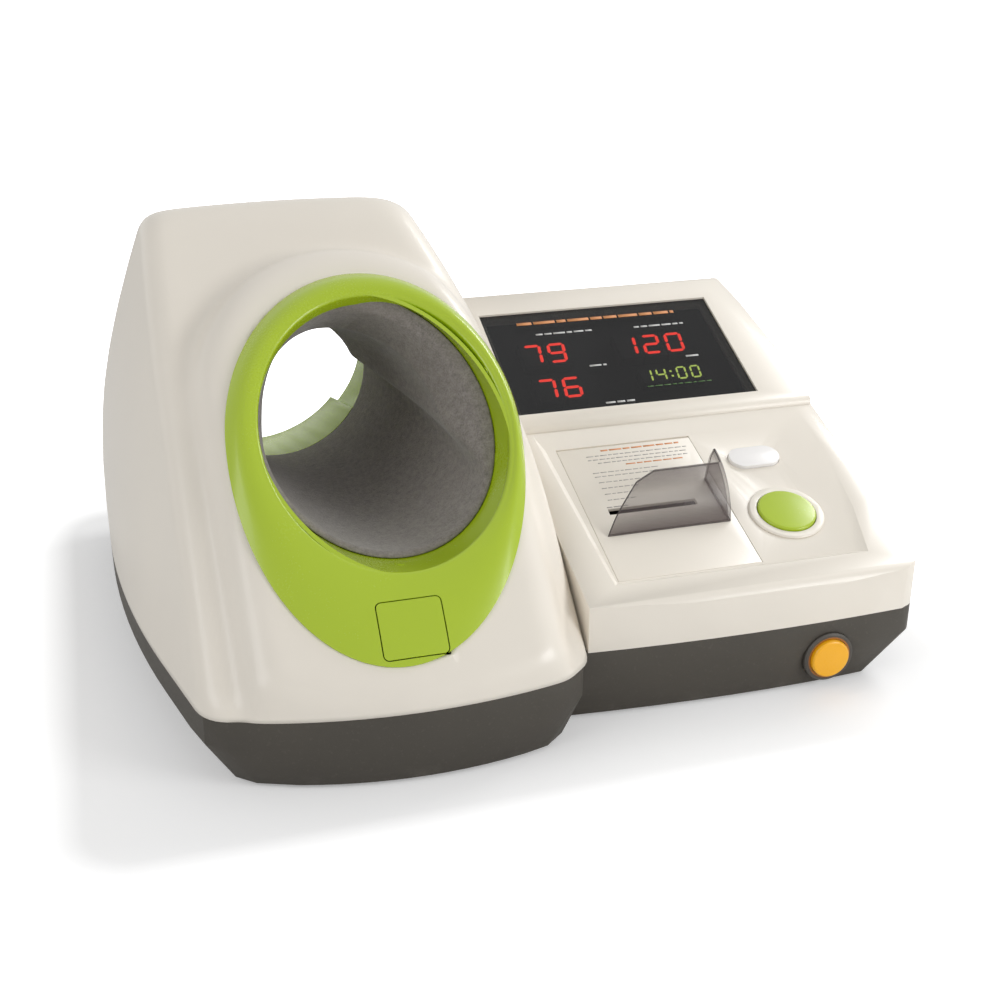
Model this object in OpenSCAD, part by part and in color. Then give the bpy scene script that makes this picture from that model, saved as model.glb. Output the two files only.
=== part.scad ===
// Arm-in blood pressure monitor: an arm tower beside a display and printer unit on one base.
// Millimetres. Origin: middle of the footprint on the table. +X right, +Y back, +Z up.

/* [Overall] */
// Width over both units
overall_w = 502; // [490:1:520]
// Depth from the tower's front to its back
overall_d = 413; // [405:1:425]
// Height of the tower above the table
overall_h = 281; // [275:1:287]
// Height of the rubber feet
foot_h = 3; // [2:0.5:5]
// Height of the dark base above its feet
base_h = 46.3; // [42:0.5:52]
// Wall of the moulded housings
wall = 3; // [2:0.5:4]

/* [Arm tower] */
// How far the tower reaches past the middle of the whole
tower_right = 23; // [20:0.5:26]
// Slope of the tower's front face
front_slope = 40.7; // [39:0.1:42]
// How far the slope starts behind the bowed front wall
slope_setback = 15.4; // [10:0.2:22]
// Radius of the bowed front wall in plan
front_bow_r = 350; // [300:10:450]
// Angle of the tower's back
rear_slope = 66.8; // [64:0.2:70]
// Setback of the left crease from the widest point
crease_in = 44; // [36:1:52]
// Radius of the raised collar round the ring
collar_r = 100; // [97:0.5:104]
// Depth of the collar's face below the ring's rim
collar_drop = 1.2; // [1:0.1:3]

/* [Arm tunnel] */
// Distance of the tunnel's front centre from the tower's right side
tunnel_side = 104.5; // [102:0.5:108]
// Height of the tunnel's front centre
tunnel_z = 175.9; // [172:0.1:180]
// Distance of the tunnel's front centre behind the tower's front
tunnel_back = 119.1; // [115:0.1:123]
// Downward pitch of the tunnel towards the back
tunnel_pitch = 8; // [7:0.1:9]
// Turn of the tunnel towards the left at the back
tunnel_yaw = 9.6; // [8:0.1:11]
// Tilt of the ring from the table
ring_tilt = 43.7; // [42:0.1:45]
// Half width of the ring's opening
lip_w = 76; // [75:0.5:77]
// Half length of the ring's opening
lip_l = 93; // [91:0.5:95]
// Half width of the ring's outline
ring_w = 91; // [89:0.5:93]
// Length of the ring's outline above its centre
ring_top = 118; // [116:0.5:120]
// Length of the ring's outline below its centre
ring_bottom = 148; // [146:0.5:150]
// Outer radius of the cuff
cuff_r = 75; // [74:0.1:75]
// Thickness of the cuff at its ends
cuff_t = 3; // [2:0.5:4]
// Extra thickness of the cuff at its waist
cuff_waist = 9; // [6:0.5:10]
// Thickness of the air bladder
bladder_t = 3.4; // [2.5:0.1:4]
// Wall of the drum
drum_t = 2.6; // [2:0.1:3]

/* [Control unit] */
// Setback of the control unit's front behind the tower's
front_in = 30.5; // [28:0.5:34]
// Setback of the control unit's back from the tower's
back_in = 46.5; // [44:0.5:50]
// Tilt of the button panel
panel_tilt = 17.5; // [16:0.5:19]
// Distance of the panel's front edge behind the unit's front
panel_in = 25.7; // [22:0.5:30]
// Height of the panel's front edge
panel_z = 81.8; // [79:0.2:84]
// Length of the panel up its slope
panel_l = 135; // [134:0.5:140]
// Left edge of the panel from the unit's left side
panel_left = 25.8; // [24:0.2:27]
// Right edge of the panel from the unit's right side
panel_right = 38; // [34:0.5:39]
// Depth of the panel below the housing's top
rim_h = 4.5; // [3:0.1:6]
// Tilt of the display
display_tilt = 22.5; // [21:0.5:24]
// Depth of the display's frame before and behind its window
window_ends = 58.4; // [57:0.2:64]
// Width of the display's frame on the right of its window
window_side = 37.5; // [35:0.5:42]
// Thickness of the display window
window_t = 3; // [2:0.5:4]

/* [Buttons] */
// Radius of the start button
start_r = 19.5; // [16:0.5:21]
// Width of the print button
print_w = 37; // [30:0.5:40]
// Height of the print button
print_h = 20; // [16:0.5:22]
// Radius of the stop button
stop_r = 13; // [11:0.5:14]
// Travel of the buttons
press = 2; // [1:0.1:2.5]

/* [Printer] */
// Room on the panel beside the printer door
door_side = 66; // [65:0.5:70]
// Thickness of the printer door
door_t = 2.5; // [2:0.1:3]
// Width of the paper roll
roll_w = 57; // [40:0.5:57]
// Radius of the paper roll
roll_r = 20; // [15:0.5:20]
// Rise of the smoked paper hood
hood_h = 27; // [24:0.5:29]
// Wall of the smoked paper hood
hood_t = 1.6; // [1.2:0.1:2]
// Radius of the platen roller
platen_r = 6; // [5:0.1:6.2]

/* [Hidden] */

$fn = 64;
gap = 0.3;              // between pieces on different bodies
fit = 0.06;             // radial clearance of a running shaft
seat = 0.2;             // between fixed pieces that nest
far = 900;

shell_white = [0.92, 0.90, 0.87];
base_grey = [0.30, 0.28, 0.25];
lime = [0.70, 0.80, 0.13];
amber = [1.0, 0.74, 0.08];
steel = [0.70, 0.71, 0.73];
board_green = [0.10, 0.35, 0.20];

// ---- driving positions -------------------------------------------------------------------
seam_z = foot_h + base_h;
side_x = overall_w / 2;
front_y = -overall_d / 2;
rear_y = overall_d / 2;
tower_w = side_x + tower_right;
tower_x = -side_x + tower_w / 2;
floor_z = foot_h + wall;
tower_seed = [tower_x + 4, 25, seam_z];
tunnel_at = [tower_right - tunnel_side, front_y + tunnel_back, tunnel_z];
control_front = front_y + front_in;
control_back = rear_y - back_in;
panel_y = control_front + panel_in;

// ---- smooth joining ----------------------------------------------------------------------
// Larger of two distances with a fillet of reach k
function join_max(a, b, k) = max(a, b) + pow(max(k - abs(a - b), 0), 2) / (4 * k);
function join_min(a, b, k) = -join_max(-a, -b, k);

// ---- the tower as a distance from its skin ------------------------------------------------
slope_foot = front_y + slope_setback;
function slope_gap(p) = (p.z - seam_z) * cos(front_slope) - (p.y - slope_foot) * sin(front_slope);
bow_x = tower_x + 34;
band_lean = 0.06;
function front_gap(p) = norm([p.x - bow_x, p.y - front_y - front_bow_r]) - front_bow_r
    + band_lean * (p.z - seam_z);
// The left wall flares back from the crease until it reaches the widest line, which leans in
crease_x = -side_x + crease_in;
flare = 0.25;
function crease_gap(p) = (crease_x - flare * (p.y - slope_foot - (p.z - seam_z) / tan(front_slope)) - p.x)
    / norm([1, flare, flare / tan(front_slope)]);
left_start = seam_z + 19;
left_lean = 0.06;
left_curve = 0.00058;
function left_gap(p) = let (h = max(p.z - left_start, 0)) -side_x + left_lean * h + left_curve * h * h - p.x;
right_start = seam_z + 58;
right_curve = 0.0018;
function right_gap(p) = let (h = max(p.z - right_start, 0)) p.x - tower_right + right_curve * h * h;
crown = 5;
top_round = 2.85;        // what the rounding takes off the top
function top_gap(p) = p.z - overall_h - top_round + crown * pow((p.x - tower_x) / 100, 2);
function rear_gap(p) = (p.y - rear_y) * sin(rear_slope) + (p.z - seam_z) * cos(rear_slope);
// The ring's rim lies a little deeper at its top; the collar is a rounded boss under it
ring_rim = -7;
rim_fall = 0.0375;
function rim_z(y) = ring_rim - rim_fall * y;
collar_dx = -8;
collar_dy = 48;
collar_taper = 0.33;
function ring_local(p) = let (q = p - tunnel_at)
    [q.x, q.y * cos(ring_tilt) + q.z * sin(ring_tilt), q.z * cos(ring_tilt) - q.y * sin(ring_tilt)];
function collar_gap(p) = let (q = ring_local(p))
    join_max((norm([q.x - collar_dx, max(q.y - collar_dy, 0)]) - collar_r + collar_taper * (q.z + 30))
        / norm([1, collar_taper]), q.z - rim_z(q.y) + collar_drop, 18);
function tower_gap(p) =
    let (face = join_min(slope_gap(p), collar_gap(p), 9))
    let (front = join_max(face, front_gap(p), 8))
    let (left = join_max(crease_gap(p), left_gap(p), 24))
    let (body = join_max(join_max(front, left, 12), right_gap(p), 22))
    join_max(join_max(body, top_gap(p), 14), rear_gap(p), 26);
function skin(dir, depth, near, reach, n) = let (mid = (near + reach) / 2)
    n == 0 ? tower_seed + dir * mid
    : tower_gap(tower_seed + dir * mid) + depth > 0 ? skin(dir, depth, near, mid, n - 1)
    : skin(dir, depth, mid, reach, n - 1);
// Points are spread by the tower's depth and width, so that the long sides get their share
function skin_dir(i, j, cols, rows) = let (a = 360 * i / cols, e = 90 * j / rows)
    let (v = [130 * cos(a), 220 * sin(a), 0] / norm([130 * cos(a), 220 * sin(a)]))
    [v.x * cos(e), v.y * cos(e), sin(e)];
function skin_ring(depth, j, cols, rows) =
    [for (i = [0 : cols - 1]) skin(skin_dir(i, j, cols, rows), depth, 5, 420, 22)];
function flat(points) = [for (ring = points) each ring];

// Closes a stack of rings, each of n points, with a polygon below and a fan above
module ring_stack(rings, top) {
    n = len(rings[0]);
    m = len(rings);
    polyhedron(concat(flat(rings), [top]), concat(
        [[for (i = [0 : n - 1]) i]],
        [for (j = [0 : m - 2], i = [0 : n - 1]) [j * n + i, (j + 1) * n + i, (j + 1) * n + (i + 1) % n]],
        [for (j = [0 : m - 2], i = [0 : n - 1]) [j * n + i, (j + 1) * n + (i + 1) % n, j * n + (i + 1) % n]],
        [for (i = [0 : n - 1]) [(m - 1) * n + i, m * n, (m - 1) * n + (i + 1) % n]]));
}
module tower_solid(cols, rows) ring_stack([for (j = [0 : rows - 1]) skin_ring(0, j, cols, rows)],
    skin([0, 0, 1], 0, 5, 420, 22));

// ---- frames ------------------------------------------------------------------------------
module at_ring() translate(tunnel_at) rotate([ring_tilt, 0, 0]) children();
module along_tunnel() translate(tunnel_at) rotate([0, 90 + tunnel_pitch, 90 + tunnel_yaw]) children();
module at_panel() translate([0, panel_y, panel_z]) rotate([panel_tilt, 0, 0]) children();

// ---- base --------------------------------------------------------------------------------
seam_outline = [for (depth = [0, wall]) [for (p = skin_ring(depth, 0, 72, 24)) [p.x, p.y]]];
base_band = 19;
function drawn_in(points, kx, ky) =
    [for (p = points) [bow_x + (p.x - bow_x) * kx, p.y < 0 ? p.y * ky : p.y * (2 * ky - 1)]];
control_bow_r = 1430;
control_corner = 12;
control_left = tower_right - 12;
function bow_front(x, inset) = control_front + inset + pow(x - side_x + 101, 2) / (2 * control_bow_r);
side_mid = control_front + 156;
function bow_side(y, inset) = side_x - inset - pow(y - side_mid, 2) / (2 * (y > side_mid ? 640 : 8000));
// Outline of the control unit, with bowed sides and rounded right corners
function control_outline(left, inset) =
    let (r = control_corner - inset / 2, cy = control_front + inset + r + 4)
    let (cx = bow_side(cy, inset) - r, by = control_back - inset - r, bx = bow_side(by, inset) - r)
    concat([[left, control_back - inset]],
        [for (k = [0 : 8]) let (x = left + (cx - left) * k / 8) [x, bow_front(x, inset)]],
        [for (k = [1 : 5]) [cx + r * sin(15 * k), cy - r * cos(15 * k)]],
        [for (k = [0 : 6]) let (y = cy + (by - cy) * k / 6) [bow_side(y, inset), y]],
        [for (k = [1 : 6]) [bx + r * cos(15 * k), by + r * sin(15 * k)]]);
undercut = 26;
module control_slab(z, h, left, inset, cut)
    translate([0, 0, z]) linear_extrude(h) polygon([for (p = control_outline(left, inset))
        [p.x - cut * pow(max(p.x - left, 0) / (side_x - left), 3), p.y + (p.y < 0 ? cut / 6 : -cut / 3)]]);
module tower_slab(z, h, shape, kx, ky)
    translate([0, 0, z]) linear_extrude(h) polygon(drawn_in(shape, kx, ky));
slab = 0.2;
module base_form(inset, shape, low) {
    translate([0, 0, seam_z - base_band]) linear_extrude(base_band + (low > foot_h ? 5 : 0)) polygon(shape);
    hull() {
        tower_slab(low, slab, shape, 0.88, 0.98);
        tower_slab(seam_z - base_band, slab, shape, 1, 1);
    }
    control_slab(seam_z - base_band, base_band + (low > foot_h ? 5 : 0), control_left + inset, inset, 0);
    hull() {
        control_slab(low, slab, control_left + inset, inset, undercut);
        control_slab(seam_z - base_band, slab, control_left + inset, inset, 0);
    }
}
foot_r = 11;
// Places on the floor: x from the nearer side, y as a share of half the depth
function on_floor(x, y) = [x, y * overall_d / 2];
feet_at = [on_floor(66 - side_x, -0.726), on_floor(-10, -0.775), on_floor(66 - side_x, 0.58),
    on_floor(-60, 0.8), on_floor(side_x - 56, -0.678), on_floor(side_x - 61, 0.58), on_floor(60, 0.63)];
stop_x = side_x - 65.7;
stop_z = 23.7;
stop_out = 5;
post_h = 12;
board_w = 120;
board_d = 100;
board_at = [tower_right + 45, control_back - 205];
board_posts = [for (x = [6, board_w - 6], y = [6, board_d - 6]) board_at + [x, y]];
inlet_x = side_x - 66;
inlet_w = 27.4;
inlet_h = 19.8;
inlet_z = seam_z - 11.5;
rocker_x = side_x - 110;
rocker_w = 19;
rocker_h = 13;
screws_at = [on_floor(61 - side_x, -0.533), on_floor(-25, -0.63), on_floor(61 - side_x, 0.363),
    on_floor(-10, 0.726), on_floor(side_x - 46, -0.533), on_floor(side_x - 140, 0.533), on_floor(30, -0.678)];
screw_r = 2;
module base_tray() color(base_grey) difference() {
    union() {
        difference() {
            base_form(0, seam_outline[0], foot_h);
            base_form(wall, seam_outline[1], floor_z);
        }
        for (p = board_posts) translate([p.x, p.y, floor_z - 1]) cylinder(r = 4, h = post_h + 1);
        for (p = screws_at) translate([p.x, p.y, floor_z - 1]) cylinder(r = 6, h = 16);
    }
    for (p = feet_at) translate([p.x, p.y, 0]) cylinder(r = foot_r + seat, h = foot_h + 1);
    for (p = screws_at) translate([p.x, p.y, 0]) {
        cylinder(r = screw_r + fit, h = floor_z + 13);
        cylinder(r = 4.2, h = foot_h + 2.4);
    }
    translate([stop_x, control_front - 20, stop_z]) rotate([-90, 0, 0])
        cylinder(r = stop_r + 4 + seat, h = 40);
    translate([inlet_x - inlet_w / 2 - seat, control_back - 12, inlet_z - inlet_h / 2 - seat])
        cube([inlet_w + 2 * seat, 30, inlet_h + 2 * seat]);
    translate([rocker_x - rocker_w / 2 - seat, control_back - 12, inlet_z - rocker_h / 2 - seat])
        cube([rocker_w + 2 * seat, 30, rocker_h + 2 * seat]);
}
module feet() color([0.12, 0.12, 0.12]) for (p = feet_at) translate([p.x, p.y, 0]) {
    cylinder(r1 = foot_r - 1, r2 = foot_r, h = 1);
    translate([0, 0, 1]) cylinder(r = foot_r, h = foot_h);
}
module base_screws() color(steel) for (p = screws_at) translate([p.x, p.y, foot_h + 0.2]) {
    cylinder(r = 4, h = 2.1);
    cylinder(r = screw_r, h = 14);
}

// ---- tower housing -----------------------------------------------------------------------
sleeve_r = cuff_r + 0.5;
sleeve_t = 2.5;
hole_r = sleeve_r + sleeve_t + 1;
elbow_x = -6;
elbow_w = 38;
elbow_y = -126;
elbow_l = 34;
module tower_housing() color(shell_white) resize([0, 0, 0]) difference() {
    tower_solid(80, 32);
    tower_cavity();
    along_tunnel() translate([0, 0, -150]) cylinder(r = hole_r, h = 600, $fn = 72);
    at_ring() {
        intersection() {
            translate([elbow_x - elbow_w / 2 - 1, elbow_y - elbow_l / 2 - 1, -40])
                cube([elbow_w + 2, elbow_l + 10, 60]);
            translate([0, 0, -40]) linear_extrude(60)
                polygon([for (i = [0 : ring_n - 1]) ring_egg(i * 360 / ring_n, 0.2)]);
        }
        translate([elbow_x - ear_x - ear_w - seat, ear_y - seat, -40])
            cube([2 * (ear_x + ear_w + seat), ear_l + 2 * seat, 60]);
    }
}
// The cavity starts below the seam, so the wall ends in a clean edge
module tower_cavity() ring_stack(concat([[for (p = skin_ring(wall, 0, 56, 22)) p - [0, 0, 1]]],
    [for (j = [0 : 21]) skin_ring(wall, j, 56, 22)]), skin([0, 0, 1], wall, 5, 420, 22));

// ---- rings -------------------------------------------------------------------------------
ring_turn = -4.3;
ring_bulge = 1.6;
lip_at = [1, 2];
// Outline of the ring: an egg with its long end down, turned a little in its plane
function ring_egg(a, grow) = let (c = cos(a), s = sin(a), b = s > 0 ? ring_top : ring_bottom)
    let (r = 1 / norm([c / ring_w, s / b]) + grow) [-4 + r * cos(a + ring_turn), r * sin(a + ring_turn)];
function lip_oval(a, grow) = [lip_at.x + (lip_w + grow) * cos(a), lip_at.y + (lip_l + grow) * sin(a)];
// From the rim up to the lip, with a rounded crown
function ring_skin(a, t) = let (o = ring_egg(a, 0), l = lip_oval(a + ring_turn, 3))
    [o.x + (l.x - o.x) * t, o.y + (l.y - o.y) * t,
        rim_z(o.y) - (rim_z(o.y) + 1) * sin(90 * pow(t, 0.9)) + ring_bulge * sin(180 * t)];
// Rings of points joined to each other and, last to first, into a closed loop
module ring_loop(rows) {
    n = len(rows[0]);
    m = len(rows);
    polyhedron(flat(rows), concat(
        [for (j = [0 : m - 1], i = [0 : n - 1])
            [j * n + i, ((j + 1) % m) * n + i, ((j + 1) % m) * n + (i + 1) % n]],
        [for (j = [0 : m - 1], i = [0 : n - 1])
            [j * n + i, ((j + 1) % m) * n + (i + 1) % n, j * n + (i + 1) % n]]));
}
ring_n = 72;
function ring_row(t) = [for (i = [0 : ring_n - 1]) ring_skin(i * 360 / ring_n, t)];
// The ring's back follows its rim, lying on the collar
function on_back(row) = [for (p = row) [p.x, p.y, rim_z(p.y) - collar_drop + 0.1]];
lip_row = [for (i = [0 : ring_n - 1]) let (p = lip_oval(i * 360 / ring_n + ring_turn, 0)) [p.x, p.y, -1.5]];
module ring_body() ring_loop(concat([on_back(ring_row(0))],
    [for (t = [0, 0.06, 0.16, 0.3, 0.46, 0.64, 0.82, 1]) ring_row(t)], [lip_row, on_back(lip_row)]));
// Everything in front of the plane in which the cuff's front edge lies, moved back by depth
edge_tilt = 51;
module front_of(depth) translate(tunnel_at) rotate([edge_tilt, 0, 0]) translate([-far / 2, -far / 2, -depth])
    cube([far, far, far]);
module behind(y) translate([-far / 2, y, -far / 2]) cube([far, far, far]);
cuff_front = 19;
drum_front = 30;
elbow_gap = 0.7;
module elbow_prism(grow) translate([elbow_x - elbow_w / 2 - grow, elbow_y - elbow_l / 2 - grow, -30])
    cube([elbow_w + 2 * grow, elbow_l + 2 * grow, 60]);
// Ears behind the ring carry the elbow plate's hinge pin, with a bar between them for its switch
pin_r = 1.5;
ear_w = 4;
ear_x = elbow_w / 2 + 1.2;
ear_y = -136;
ear_l = 31;
ear_z = -31;
ear_top = -2.4;
hinge_y = elbow_y + elbow_l / 2 - 3;
hinge_z = -7;
bar_z = ear_z + 5;
bar_h = 3;
cap_r = 3.4;
// Screw caps: two in the sleeve by turn and depth along the tunnel, one in the lip by its angle
sleeve_caps = [[-68, -6], [7, -31]];
lip_cap = 21;
module screw_caps(r) {
    for (c = sleeve_caps) along_tunnel() rotate([0, 0, c[0]]) translate([sleeve_r - 0.3, 0, c[1]])
        rotate([0, 90, 0]) cylinder(r = r, h = 1.8);
    at_ring() translate(concat(lip_oval(lip_cap, -0.3), [-5.6]))
        rotate([0, 90, atan2(sin(lip_cap) / lip_l, cos(lip_cap) / lip_w)]) cylinder(r = r, h = 1.8);
}
module hinge_bore(r) at_ring() translate([elbow_x - ear_x - ear_w - 1, hinge_y, hinge_z])
    rotate([0, 90, 0]) cylinder(r = r, h = 2 * (ear_x + ear_w + 1));
module front_ring() color(lime) difference() {
    union() {
        at_ring() difference() {
            ring_body();
            elbow_prism(elbow_gap);
        }
        difference() {
            intersection() {
                along_tunnel() translate([0, 0, -140]) cylinder(r = sleeve_r + sleeve_t, h = 260);
                front_of(drum_front - gap);
                at_ring() translate([-far / 2, -far / 2, -far - 1.5]) cube([far, far, far]);
            }
            along_tunnel() translate([0, 0, -150]) cylinder(r = sleeve_r, h = 300);
        }
        at_ring() {
            for (x = [-ear_x - ear_w, ear_x]) translate([elbow_x + x, ear_y, ear_z])
                cube([ear_w, ear_l, ear_top - ear_z]);
            translate([elbow_x - ear_x, ear_y, bar_z]) cube([2 * ear_x, 9, bar_h]);
        }
    }
    difference() {
        along_tunnel() translate([0, 0, -150]) cylinder(r = sleeve_r, h = 300);
        front_of(cuff_front - gap);
    }
    hinge_bore(pin_r);
    screw_caps(cap_r + 0.05);
}
module ring_screw_caps() color(lime) screw_caps(cap_r);
lug_w = 4;
lug_x = elbow_w / 2 - lug_w;
module elbow_plate() color(lime) difference() {
    at_ring() {
        intersection() {
            ring_body();
            elbow_prism(0);
        }
        for (x = [-lug_x - lug_w, lug_x]) translate([elbow_x + x, hinge_y - 3, hinge_z - 2.5])
            cube([lug_w, 6, 5.6]);
        translate([elbow_x, ear_y + 4, bar_z + bar_h + 11.5]) cylinder(r = 2, h = 9.5);
    }
    hinge_bore(pin_r + fit);
}
module elbow_hinge_pin() color(steel) at_ring() translate([elbow_x - ear_x - ear_w, hinge_y, hinge_z])
    rotate([0, 90, 0]) cylinder(r = pin_r, h = 2 * (ear_x + ear_w));
module elbow_switch() color([0.1, 0.1, 0.1]) at_ring() translate([elbow_x - 10, ear_y, bar_z + bar_h])
    cube([20, 9, 10]);

// Frame on the tower's back, with z out of it and y down along it
rear_flange = 86;
module at_rear() translate([0, rear_y, seam_z]) rotate([-rear_slope, 0, 0]) children();
module rear_room() at_rear() translate([-far / 2, -far / 2, 1 - far]) cube([far, far, far]);
// The trough that the forearm leaves over, trough_r from the axis and open above
trough_r = 66.7;
trough_turn = 57.5;
module rear_trough() intersection() {
    along_tunnel() rotate([0, 0, -trough_turn]) rotate_extrude(angle = 2 * trough_turn)
        translate([trough_r, 0]) square([sleeve_r + sleeve_t / 2 - trough_r, 400]);
    rear_room();
    behind(cuff_back + gap);
}
module rear_ring() color(lime) difference() {
    union() {
        difference() {
            union() {
                intersection() {
                    along_tunnel() cylinder(r = rear_flange, h = 400);
                    at_rear() translate([-far / 2, -far / 2, 0.1]) cube([far, far, 4]);
                    translate([-far / 2, -far / 2, seam_z + 1]) cube([far, far, far]);
                }
                intersection() {
                    along_tunnel() cylinder(r = sleeve_r + sleeve_t, h = 400);
                    rear_room();
                    behind(drum_back + gap);
                }
            }
            along_tunnel() cylinder(r = sleeve_r, h = 500);
        }
        rear_trough();
    }
    behind(rear_y);
}

// ---- cuff and its winder -----------------------------------------------------------------
bladder_in = cuff_r + seat;
bladder_out = bladder_in + bladder_t;
drum_in = bladder_out + seat;
drum_out = drum_in + drum_t;
tunnel_l = 380;
waist_at = 170;
waist_long = 100;
// The drum ends where its top edge comes within drum_clear of the tower's back
drum_clear = 12;
tunnel_fall = tan(tunnel_pitch) / cos(tunnel_yaw);
drum_room = rear_y * tan(rear_slope) - tunnel_at.y * tunnel_fall;
drum_back = (seam_z + drum_room - tunnel_at.z - drum_out - drum_clear) / (tan(rear_slope) - tunnel_fall);
cuff_back = drum_back + 10;
module cuff() color([0.45, 0.43, 0.44]) difference() {
    along_tunnel() rotate_extrude() polygon(concat(
        [for (k = [0 : 12]) let (z = -130 + k * tunnel_l / 12)
            [cuff_r - cuff_t - cuff_waist * exp(-pow((z - waist_at) / waist_long, 2)), z]],
        [[cuff_r, tunnel_l - 130], [cuff_r, -130]]));
    front_of(cuff_front);
    behind(cuff_back);
}
nipple_y = tunnel_at.y + 57.4;
nipple_x = tunnel_at.x - (nipple_y - tunnel_at.y) * tan(tunnel_yaw);
nipple_z = 72;
module air_bladder() color([0.2, 0.2, 0.22]) {
    difference() {
        along_tunnel() translate([0, 0, -130]) cylinder(r = bladder_out, h = tunnel_l);
        along_tunnel() translate([0, 0, -131]) cylinder(r = bladder_in, h = tunnel_l + 2);
        front_of(drum_front);
        behind(drum_back);
    }
    translate([nipple_x, nipple_y, nipple_z]) cylinder(r = 3, h = 18);
}
gear_at = 0.68 * (drum_back - tunnel_at.y);
gear_w = 8;
flange_out = 2.5;
module cuff_drum() color([0.15, 0.15, 0.16]) difference() {
    along_tunnel() {
        translate([0, 0, -130]) cylinder(r = drum_out, h = tunnel_l);
        translate([0, 0, gear_at + gear_w / 2 + gap]) cylinder(r = drum_out + flange_out, h = 3);
    }
    along_tunnel() translate([0, 0, -131]) cylinder(r = drum_in, h = tunnel_l + 2);
    front_of(drum_front);
    behind(drum_back);
    translate([nipple_x, nipple_y, 0]) cylinder(r = 3.5, h = 110);
}
cradle_half = 48;
cradle_t = 4;
gear_y = tunnel_at.y + gear_at * cos(tunnel_pitch) * cos(tunnel_yaw);
cradles_at = [gear_y - 34, gear_y + 41];
function axis_x(y) = tunnel_at.x - (y - tunnel_at.y) * tan(tunnel_yaw);
function axis_z(y) = tunnel_at.z - (y - tunnel_at.y) * tunnel_fall;
module drum_cradles() color(base_grey) difference() {
    for (y = cradles_at) translate([axis_x(y) - cradle_half, y, floor_z])
        cube([2 * cradle_half, cradle_t, axis_z(y) - 60 - floor_z]);
    along_tunnel() translate([0, 0, -20]) cylinder(r = drum_out + seat, h = 300);
}

// Spur gears with involute flanks, thinned by play
function roll(r, base) = r <= base ? 0 : let (t = sqrt(pow(r / base, 2) - 1)) t * 180 / PI - atan(t);
play = 0.12;
function half_tooth(r, pitch, teeth) = 90 / teeth + roll(pitch, pitch * cos(20)) - roll(r, pitch * cos(20))
    - play / pitch * 180 / PI;
module gear_outline(teeth, m) {
    pitch = teeth * m / 2;
    radii = [pitch - 1.2 * m, pitch, pitch + 0.8 * m];
    polygon([for (k = [0 : teeth - 1], p = [[0, -1], [1, -1], [2, -1], [2, 1], [1, 1], [0, 1]])
        let (r = radii[p[0]], a = 360 * k / teeth + p[1] * half_tooth(r, pitch, teeth))
        [r * cos(a), r * sin(a)]]);
}
wind_m = 2;
wind_teeth = 90;
pinion_teeth = 15;
wind_reach = (wind_teeth + pinion_teeth) * wind_m / 2 + 0.2;
wind_side = 45;
shaft_r = 2.5;
bracket_at = gear_at + gear_w / 2 + 3;
module at_pinion() along_tunnel() rotate([0, 0, wind_side]) translate([wind_reach, 0, 0]) children();
module winding_gear() color([0.85, 0.84, 0.80]) along_tunnel() translate([0, 0, gear_at - gear_w / 2])
    difference() {
        rotate([0, 0, wind_side]) linear_extrude(gear_w) gear_outline(wind_teeth, wind_m);
        translate([0, 0, -1]) cylinder(r = drum_out + gap, h = gear_w + 2, $fn = 180);
    }
module winding_pinion() color(steel) at_pinion() translate([0, 0, gear_at - gear_w / 2]) difference() {
    rotate([0, 0, 180 + 180 / pinion_teeth]) linear_extrude(gear_w) gear_outline(pinion_teeth, wind_m);
    translate([0, 0, -1]) cylinder(r = shaft_r + fit, h = gear_w + 2);
}
motor_r = 16;
bracket_t = 3;
module winding_motor() color(steel) at_pinion() {
    translate([0, 0, bracket_at + bracket_t]) cylinder(r = motor_r, h = 45);
    translate([0, 0, gear_at - gear_w / 2]) cylinder(r = shaft_r, h = bracket_t + gear_w + 8);
}
module motor_bracket() color(steel) difference() {
    intersection() {
        along_tunnel() translate([wind_reach * cos(wind_side), wind_reach * sin(wind_side), bracket_at])
            translate([-20, -20, 0]) cube([140, 40, bracket_t]);
        translate([-far / 2, -far / 2, floor_z]) cube([far, far, far]);
    }
    at_pinion() cylinder(r = shaft_r + 1, h = 200);
    along_tunnel() cylinder(r = drum_out + flange_out + gap, h = 300);
}

// ---- control unit shells -----------------------------------------------------------------
shell_left = tower_right + seat;
shell_edge = 9;
step_y = panel_y + panel_l + 6.3;
lip_h = 4.4;
lip_edge = 7;
display_deep = 13;
back_lean = 10;
top_rise = tan(panel_tilt);
display_rise = tan(display_tilt);
function shell_top(y) = panel_z + rim_h / cos(panel_tilt) + top_rise * (y - panel_y);
function display_top(y) = shell_top(step_y) + lip_h + display_rise * (y - step_y);
function seam_line(y) = display_top(y) - display_deep / cos(display_tilt);
function back_y(z, d) = control_back - d / cos(back_lean) - tan(back_lean) * (z - seam_z);
// Where a line of slope s through z at the step meets the leaning back, moved in by d
function back_meet(z, s, d) = (control_back - d - tan(back_lean) * (z - s * step_y - seam_z))
    / (1 + tan(back_lean) * s);
function arc(y, z, r, from, to) = [for (k = [0 : 5]) let (a = from + (to - from) * k / 5)
    [y + r * cos(a), z + r * sin(a)]];
module along_x(x, w) translate([x, 0, 0]) rotate([90, 0, 90]) linear_extrude(w) children();
module in_outline(left, inset) intersection() {
    translate([0, 0, seam_z - 1]) linear_extrude(200) polygon(control_outline(left, inset));
    children();
}
seam_back = back_meet(seam_line(step_y), display_rise, 0);
shell_front_c = [control_front + shell_edge,
    shell_top(control_front + shell_edge) - shell_edge / cos(panel_tilt)];
lip_c = [step_y + lip_edge, display_top(step_y + lip_edge) - lip_edge / cos(display_tilt)];
back_c_y = back_meet(display_top(step_y) - shell_edge / cos(display_tilt), display_rise,
    shell_edge / cos(back_lean));
back_c = [back_c_y, display_top(back_c_y) - shell_edge / cos(display_tilt)];
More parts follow.
